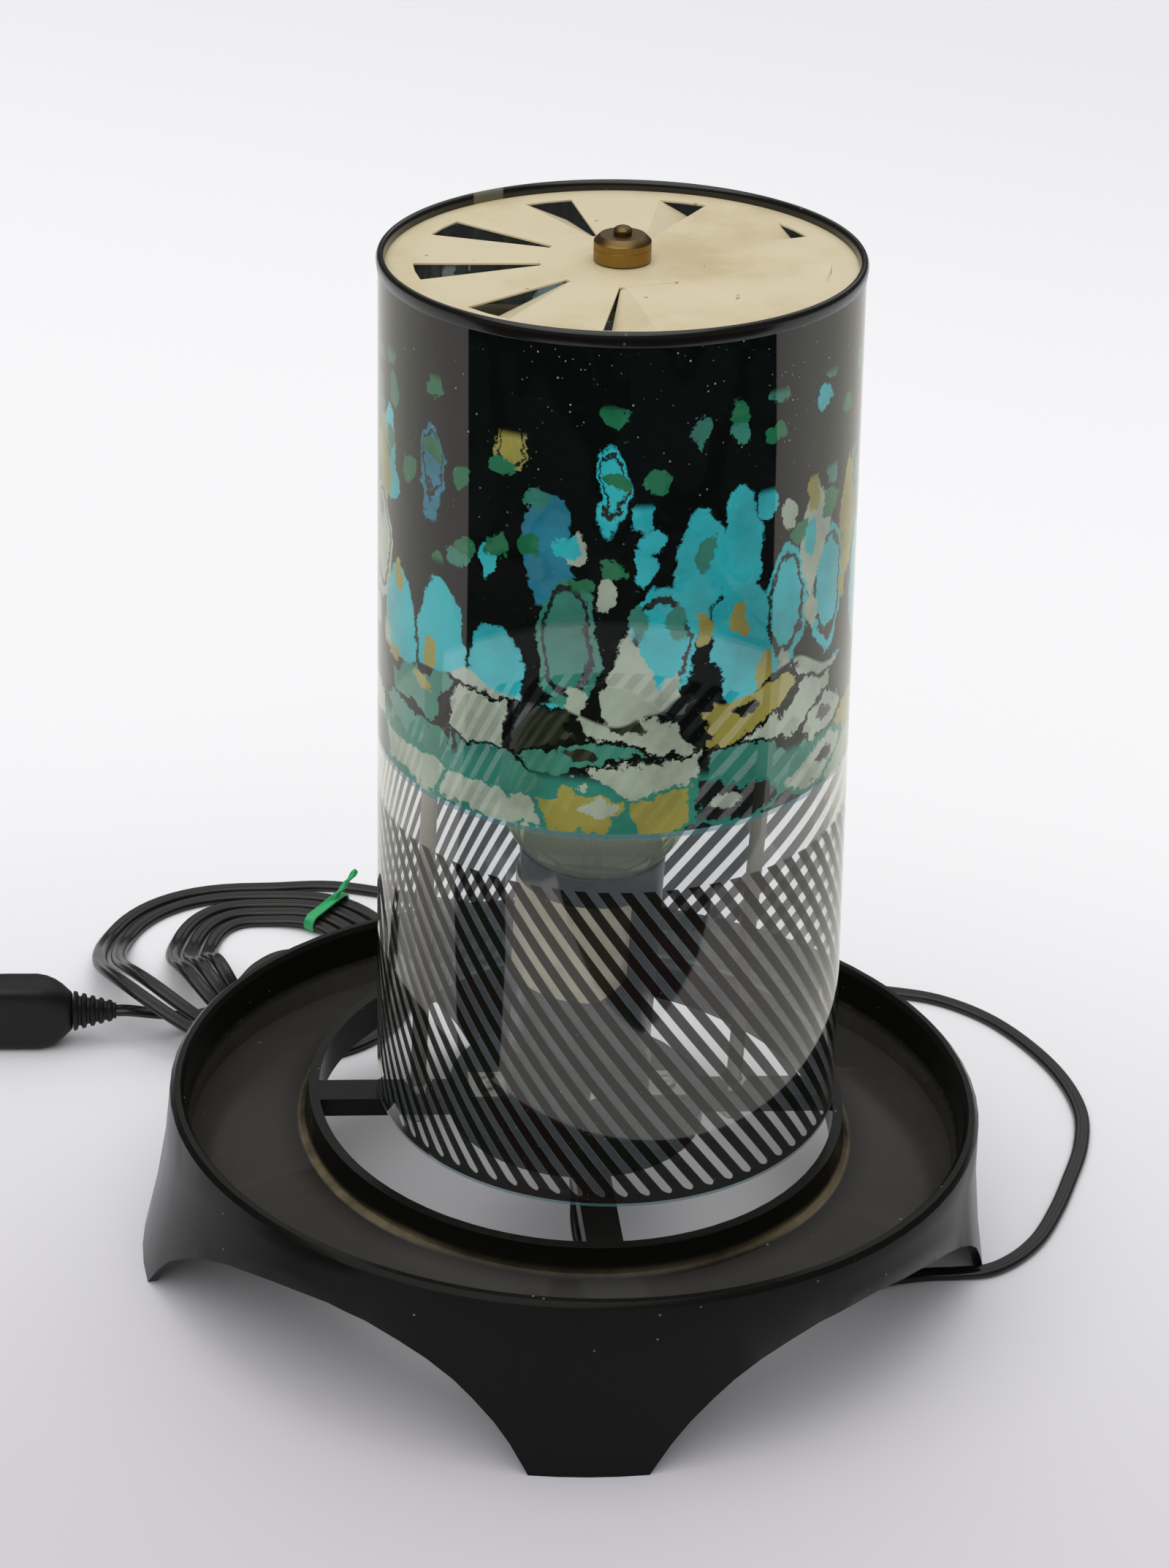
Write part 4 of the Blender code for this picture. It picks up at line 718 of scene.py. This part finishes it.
def drum_sheet():
    """The rolled clear sheet; its UV map is (turns from the back, metres above the edge)."""
    high = drum_top - 1.2 * mm
    rows = 24
    count = 240
    edge = 0.15 * mm
    levels = [drum_bottom + (high - drum_bottom) * k / rows for k in range(rows + 1)]
    levels = [levels[0], levels[0] + edge] + levels[1:-1] + [levels[-1] - edge, levels[-1]]
    bm = turned([(drum_radius(z), z) for z in levels], count)
    if sum(face.normal.dot(Vector((*face.calc_center_median().xy, 0))) for face in bm.faces) < 0:
        bmesh.ops.reverse_faces(bm, faces=bm.faces)
    chart = bm.loops.layers.uv.new("sheet")
    for face in bm.faces:
        middle = face.calc_center_median()
        centre_turn = math.atan2(middle.x, -middle.y) / (2 * math.pi)
        for loop in face.loops:
            turn = math.atan2(loop.vert.co.x, -loop.vert.co.y) / (2 * math.pi)
            turn += round(centre_turn - turn)
            loop[chart].uv = (turn + 0.5, loop.vert.co.z - drum_bottom)
    sheet = piece("drum_sheet", bm, [print_finish(), film_finish()], "drum", "drum_film",
                  "drum_tube", place=drum_frame)
    wall = sheet.modifiers.new("wall", "SOLIDIFY")
    wall.thickness = film_wall
    wall.offset = -1
    wall.material_offset = 1
    wall.material_offset_rim = 1
    sheet.visible_shadow = False           # its shade on the floor is faint: light comes through it
    return sheet


def film_finish():
    """Inner face of the clear sheet."""
    made = Finish("drum_film", (0.46, 0.55, 0.58), 0.5, Specular_IOR_Level=0)
    made.set("Alpha", 0.07 + made.noise(50, 4).step(0.4, 0.9) * 0.06)
    made.skin(0.05)
    return made


def drum_ring():
    """The rounded rim: a thin outer lip on the sheet, a bead on top and an inner lip on the disc."""
    low = drum_top - 4.2 * mm
    outer = drum_radius(low) + 0.05 * mm
    inner = drum_radius(drum_top) - 1.1 * mm
    lip = 0.9 * mm
    proud = 0.2 * mm
    middle, half = (outer + 2 * proud + inner - lip) / 2, (outer + 2 * proud - inner + lip) / 2
    crown_steps = 16
    profile = [(inner, drum_top - 4.4 * mm), (inner, drum_top - lip), (outer, drum_top - lip),
               (outer, low), (outer + proud, low + 0.3 * mm), (outer + 2 * proud, drum_top - 1.9 * mm)]
    for k in range(crown_steps + 1):
        angle = math.pi * k / crown_steps
        profile.append((middle + half * math.cos(angle), drum_top - 2 * lip + 2 * lip * math.sin(angle)))
    profile.append((inner - lip, drum_top - 4.4 * mm))
    black = (0.008, 0.0075, 0.006)
    made = Finish("rim_black", black, 0.16)
    x, y, _ = made.parts(made.place())
    tape = x.between(-40.5 * mm, -31.5 * mm, 0.3 * mm) * (y > 0)
    marks = made.speckle(300, 0.12, 0.8)
    worn = (tape * 0.8).at_least(marks * 0.5)
    made.set("Base Color", made.mix(worn, black, (0.15, 0.15, 0.1)))
    made.set("Roughness", 0.12 + made.noise(160, 4) * 0.16 + tape * 0.3)
    made.bump(made.noise(220, 3), 0.06, 0.3 * mm)
    piece("drum_ring", turned(profile, 240, closed=True), made, "drum", "drum_rim", "drum_rim",
          place=drum_frame, sharp=50)


def disc_and_cap():
    cream = enamel_finish("disc_cream", (0.62, 0.54, 0.36), 0.42)
    refined("turbine_disc", cream, "turbine", 0.1 * mm, 20)
    # The darker brown serves both the painted shade on the cap's top and its real tarnish.
    golden, tarnish_and_shade_brown = (0.34, 0.21, 0.05), (0.15, 0.095, 0.045)
    brass = metal_finish("cap_brass", golden, 0.42, 0.2)
    _, _, z = brass.parts(brass.place())
    top = z.step(spin["pos_m"][2] + 0.6 * mm, spin["pos_m"][2] + 1.4 * mm)
    tarnish = brass.noise(300, 4).step(0.5, 0.8)
    # The cap's top is painted darker brown than its golden sides: painted shade. The tarnish noise adds
    # real tarnish in the same brown.
    brass.set("Base Color", brass.mix(top * 0.85 + tarnish * 0.15, golden, tarnish_and_shade_brown))
    seat = -4.7 * mm
    profile = [(0, 5.3 * mm), (0.3 * mm, 5.2 * mm), (0.9 * mm, 5.1 * mm), (1.8 * mm, 4.75 * mm),
               (2.3 * mm, 4.4 * mm), (2.6 * mm, 3.95 * mm), (2.65 * mm, 3.6 * mm), (2.6 * mm, 3.2 * mm),
               (2.5 * mm, 2.9 * mm), (2.5 * mm, 2.6 * mm), (6.3 * mm, 2.6 * mm), (6.5 * mm, 2.5 * mm),
               (7.95 * mm, 1.05 * mm), (8.05 * mm, 0.85 * mm), (8.05 * mm, -0.9 * mm), (8 * mm, -1 * mm),
               (8.05 * mm, -1.1 * mm), (8.05 * mm, seat + 0.3 * mm), (7.8 * mm, seat),
               (5 * mm, seat), (5 * mm, -5.9 * mm), (6.5 * mm, -5.9 * mm), (6.5 * mm, -6.7 * mm),
               (2.6 * mm, -6.7 * mm), (2.6 * mm, 2.1 * mm), (0, 2.1 * mm)]
    piece("bearing_cap_turned", turned(profile, 96), brass, "drum", "cap", "bearing_cap",
          place=drum_frame, sharp=25)
    refined("bearing_jewel", glass_finish("jewel_red", (0.6, 0.05, 0.07)), "jewel")


# Bulb and holder

def bulb():
    glass = glass_finish("bulb_glass", (0.84, 0.9, 0.6), 0.02, 0.8)
    radius, wall = 30 * mm, 0.7 * mm
    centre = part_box("bulb_glass")[1].z - radius
    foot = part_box("bulb_glass")[0].z
    neck = 12.3 * mm
    neck_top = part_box("bulb_cap")[1].z + 0.3 * mm
    join = math.radians(-52)
    joint = Vector((radius * math.cos(join), centre + radius * math.sin(join)))
    start = Vector((neck, neck_top))
    pull = (joint.y - start.y) / 2
    first = start + Vector((0, pull))
    last = joint - Vector((-math.sin(join), math.cos(join))) * pull
    outer = [(neck, foot), (neck, neck_top)]
    for k in range(1, 13):
        t = k / 12
        s = 1 - t
        point = start * s ** 3 + first * 3 * s * s * t + last * 3 * s * t * t + joint * t ** 3
        outer.append(tuple(point))
    for k in range(1, 29):
        angle = join + (math.pi / 2 - join) * k / 28
        outer.append((radius * math.cos(angle), centre + radius * math.sin(angle)))
    outer[-1] = (0, outer[-1][1])
    inner = []
    for before, here, after in zip(outer[:1] + outer, outer, outer[1:]):
        along = (Vector(after) - Vector(before)).normalized()
        inner.append((here[0] - along.y * wall, here[1] + along.x * wall))
    inner[0] = (inner[0][0], foot)
    inner.append((0, outer[-1][1] - wall))
    piece("bulb_envelope", turned(list(reversed(outer)) + inner, 96), glass, "bulb", "bulb_glass",
          "bulb_glass")
    refined("bulb_stem", glass_finish("stem_glass", (0.9, 0.94, 0.86)), "bulb_glass", sharp=60)
    refined("bulb_filament", metal_finish("tungsten", (0.2, 0.2, 0.21), 0.4), "filament", sharp=60)
    brass = metal_finish("cap_shell_brass", (0.55, 0.42, 0.2), 0.3)
    refined("bulb_cap", brass, "bulb_cap", 0.1 * mm)
    refined("bulb_contact", metal_finish("solder", (0.5, 0.5, 0.5), 0.4), "bulb_contact")


def holder():
    dark = Finish("holder_black", (0.012, 0.011, 0.01), 0.25, Coat_Weight=0.2, Coat_Roughness=0.1)
    dark.set("Roughness", 0.2 + dark.noise(70, 5) * 0.2)
    dark.bump(dark.noise(300, 3), 0.08, 0.2 * mm)
    refined("lampholder_shell", dark, "holder_shell", 0.2 * mm)
    refined("holder_label", paper_finish(), "label", sharp=60)
    porcelain = enamel_finish("porcelain", (0.75, 0.73, 0.68), 0.3)
    refined("lampholder_insulator", porcelain, "insulator", 0.3 * mm)
    brass = metal_finish("shell_brass", (0.6, 0.45, 0.2), 0.3)
    refined("lampholder_screw_shell", brass, "screw_shell", 0.1 * mm)
    refined("lampholder_contact", brass, "screw_shell", 0.1 * mm)
    zinc = metal_finish("zinc", (0.5, 0.48, 0.43), 0.38)
    refined("holder_saddle", zinc, "saddle", 0.15 * mm)
    refined("threaded_nipple", zinc, "nipple", 0.15 * mm)
    refined("nipple_locknut", zinc, "nipple", 0.2 * mm)


def base_and_yoke():
    refined("base_moulding", base_finish(), "base", 0.35 * mm, 38)
    cream, lower_yoke_tone = (0.6, 0.54, 0.4), (0.12, 0.1, 0.07)
    yoke = enamel_finish("yoke_cream", cream, 0.35)
    _, _, z = yoke.parts(yoke.place())
    # The yoke is darker towards the bottom, below 120 mm, and cream from 190 mm up.
    yoke.set("Base Color", yoke.mix(z.step(120 * mm, 190 * mm), lower_yoke_tone, cream))
    refined("yoke", yoke, "yoke", sharp=50)
    steel = metal_finish("plated_steel", (0.5, 0.5, 0.48), 0.3)
    refined("pivot_needle", steel, "needle", sharp=60)
    for side in ("left", "right"):
        refined(f"yoke_nut_{side}_upper", steel, "fasteners", 0.2 * mm)
        refined(f"yoke_nut_{side}_lower", steel, "fasteners", 0.2 * mm)
        refined(f"saddle_screw_{side}", steel, "fasteners", 0.1 * mm)
        refined(f"saddle_nut_{side}", steel, "fasteners", 0.2 * mm)


# Floor and light

def flat_piece(name, outline, height, finish):
    bm = bmesh.new()
    bm.faces.new([bm.verts.new((x, y, height)) for x, y in outline])
    mesh = bpy.data.meshes.new(name)
    bm.to_mesh(mesh)
    bm.free()
    mesh.materials.append(finish.made)
    made = bpy.data.objects.new(name, mesh)
    bpy.context.scene.collection.objects.link(made)
    return made


def floor():
    """Pale paper with painted shade: a little darker near the camera, and again far off, as the light
    falls off.
    """
    half = 8
    paper = Finish("floor_paper", (0.7, 0.69, 0.71), 0.8, Specular_IOR_Level=0.2)
    x, y, _ = paper.parts(paper.place())
    # near and far paint shade on the paper where the light falls off.
    near = (y + x * 0.25).step(-0.35, 0.4)
    far = (y + x * 0.55).step(0.5, 2.2)
    paper.set("Base Color", paper.mix(far, paper.mix(near, (0.6, 0.575, 0.615), (0.89, 0.885, 0.89)),
                                      (0.78, 0.775, 0.8)))
    flat_piece("floor", [(-half, -half), (half, -half), (half, half), (-half, half)], 0, paper)


def dark_card():
    """Where the paper ends before the lamp: black, and seen in reflections alone."""
    black = Finish("card_black", (0.002, 0.002, 0.002), 1, Specular_IOR_Level=0)
    edge = [(-4, -0.49), (-0.99, -0.186), (-0.67, -0.154), (-0.443, -0.11), (-0.31, -0.06),
            (-0.2, -0.066), (-0.165, -0.1), (-0.167, -0.14), (-0.229, -0.189), (-0.286, -0.22),
            (-0.184, -0.333), (-0.093, -0.315), (0.049, -0.282), (0.115, -0.289), (0.198, -0.294),
            (0.274, -0.312), (0.411, -0.197), (0.493, -0.2), (0.625, -0.236), (0.965, -0.364),
            (1.271, -0.537), (4, -1.9)]
    made = flat_piece("dark_card", edge + [(4, -5), (-4, -5)], 1 * mm, black)
    for rays in ("camera", "diffuse", "transmission", "volume_scatter", "shadow"):
        setattr(made, "visible_" + rays, False)


def light():
    """A dim pale room, seen as a white backdrop, and two broad lights from above."""
    room_strength, room_in_gloss, backdrop_strength = 0.32, 0.07, 0.8
    world = bpy.data.worlds.new("studio")
    world.use_nodes = True
    nodes, links = world.node_tree.nodes, world.node_tree.links
    room = nodes["Background"]
    room.inputs["Color"].default_value = (0.95, 0.96, 1, 1)
    seen = nodes.new("ShaderNodeLightPath")
    dim = nodes.new("ShaderNodeMapRange")
    dim.inputs["To Min"].default_value = room_strength
    dim.inputs["To Max"].default_value = room_in_gloss
    links.new(seen.outputs["Is Glossy Ray"], dim.inputs["Value"])
    behind = nodes.new("ShaderNodeMath")
    behind.operation = "MULTIPLY_ADD"
    behind.inputs[1].default_value = backdrop_strength - room_strength
    links.new(seen.outputs["Is Camera Ray"], behind.inputs[0])
    links.new(dim.outputs[0], behind.inputs[2])
    links.new(behind.outputs[0], room.inputs["Strength"])
    bpy.context.scene.world = world
    for name, energy, place in (("front_light", 1.85, (-0.25, -0.35, 1)),
                                ("back_light", 0.85, (0.2, 0.6, 1))):
        sky = bpy.data.lights.new(name, "SUN")
        sky.angle = math.radians(75)
        sky.energy = energy
        made = bpy.data.objects.new(name, sky)
        bpy.context.scene.collection.objects.link(made)
        made.rotation_euler = Vector(place).to_track_quat("Z", "Y").to_euler()


bpy.context.scene.view_settings.view_transform = "Standard"
take_camera()
make_cord()
drum_sheet()
drum_ring()
disc_and_cap()
bulb()
holder()
base_and_yoke()
floor()
dark_card()
light()
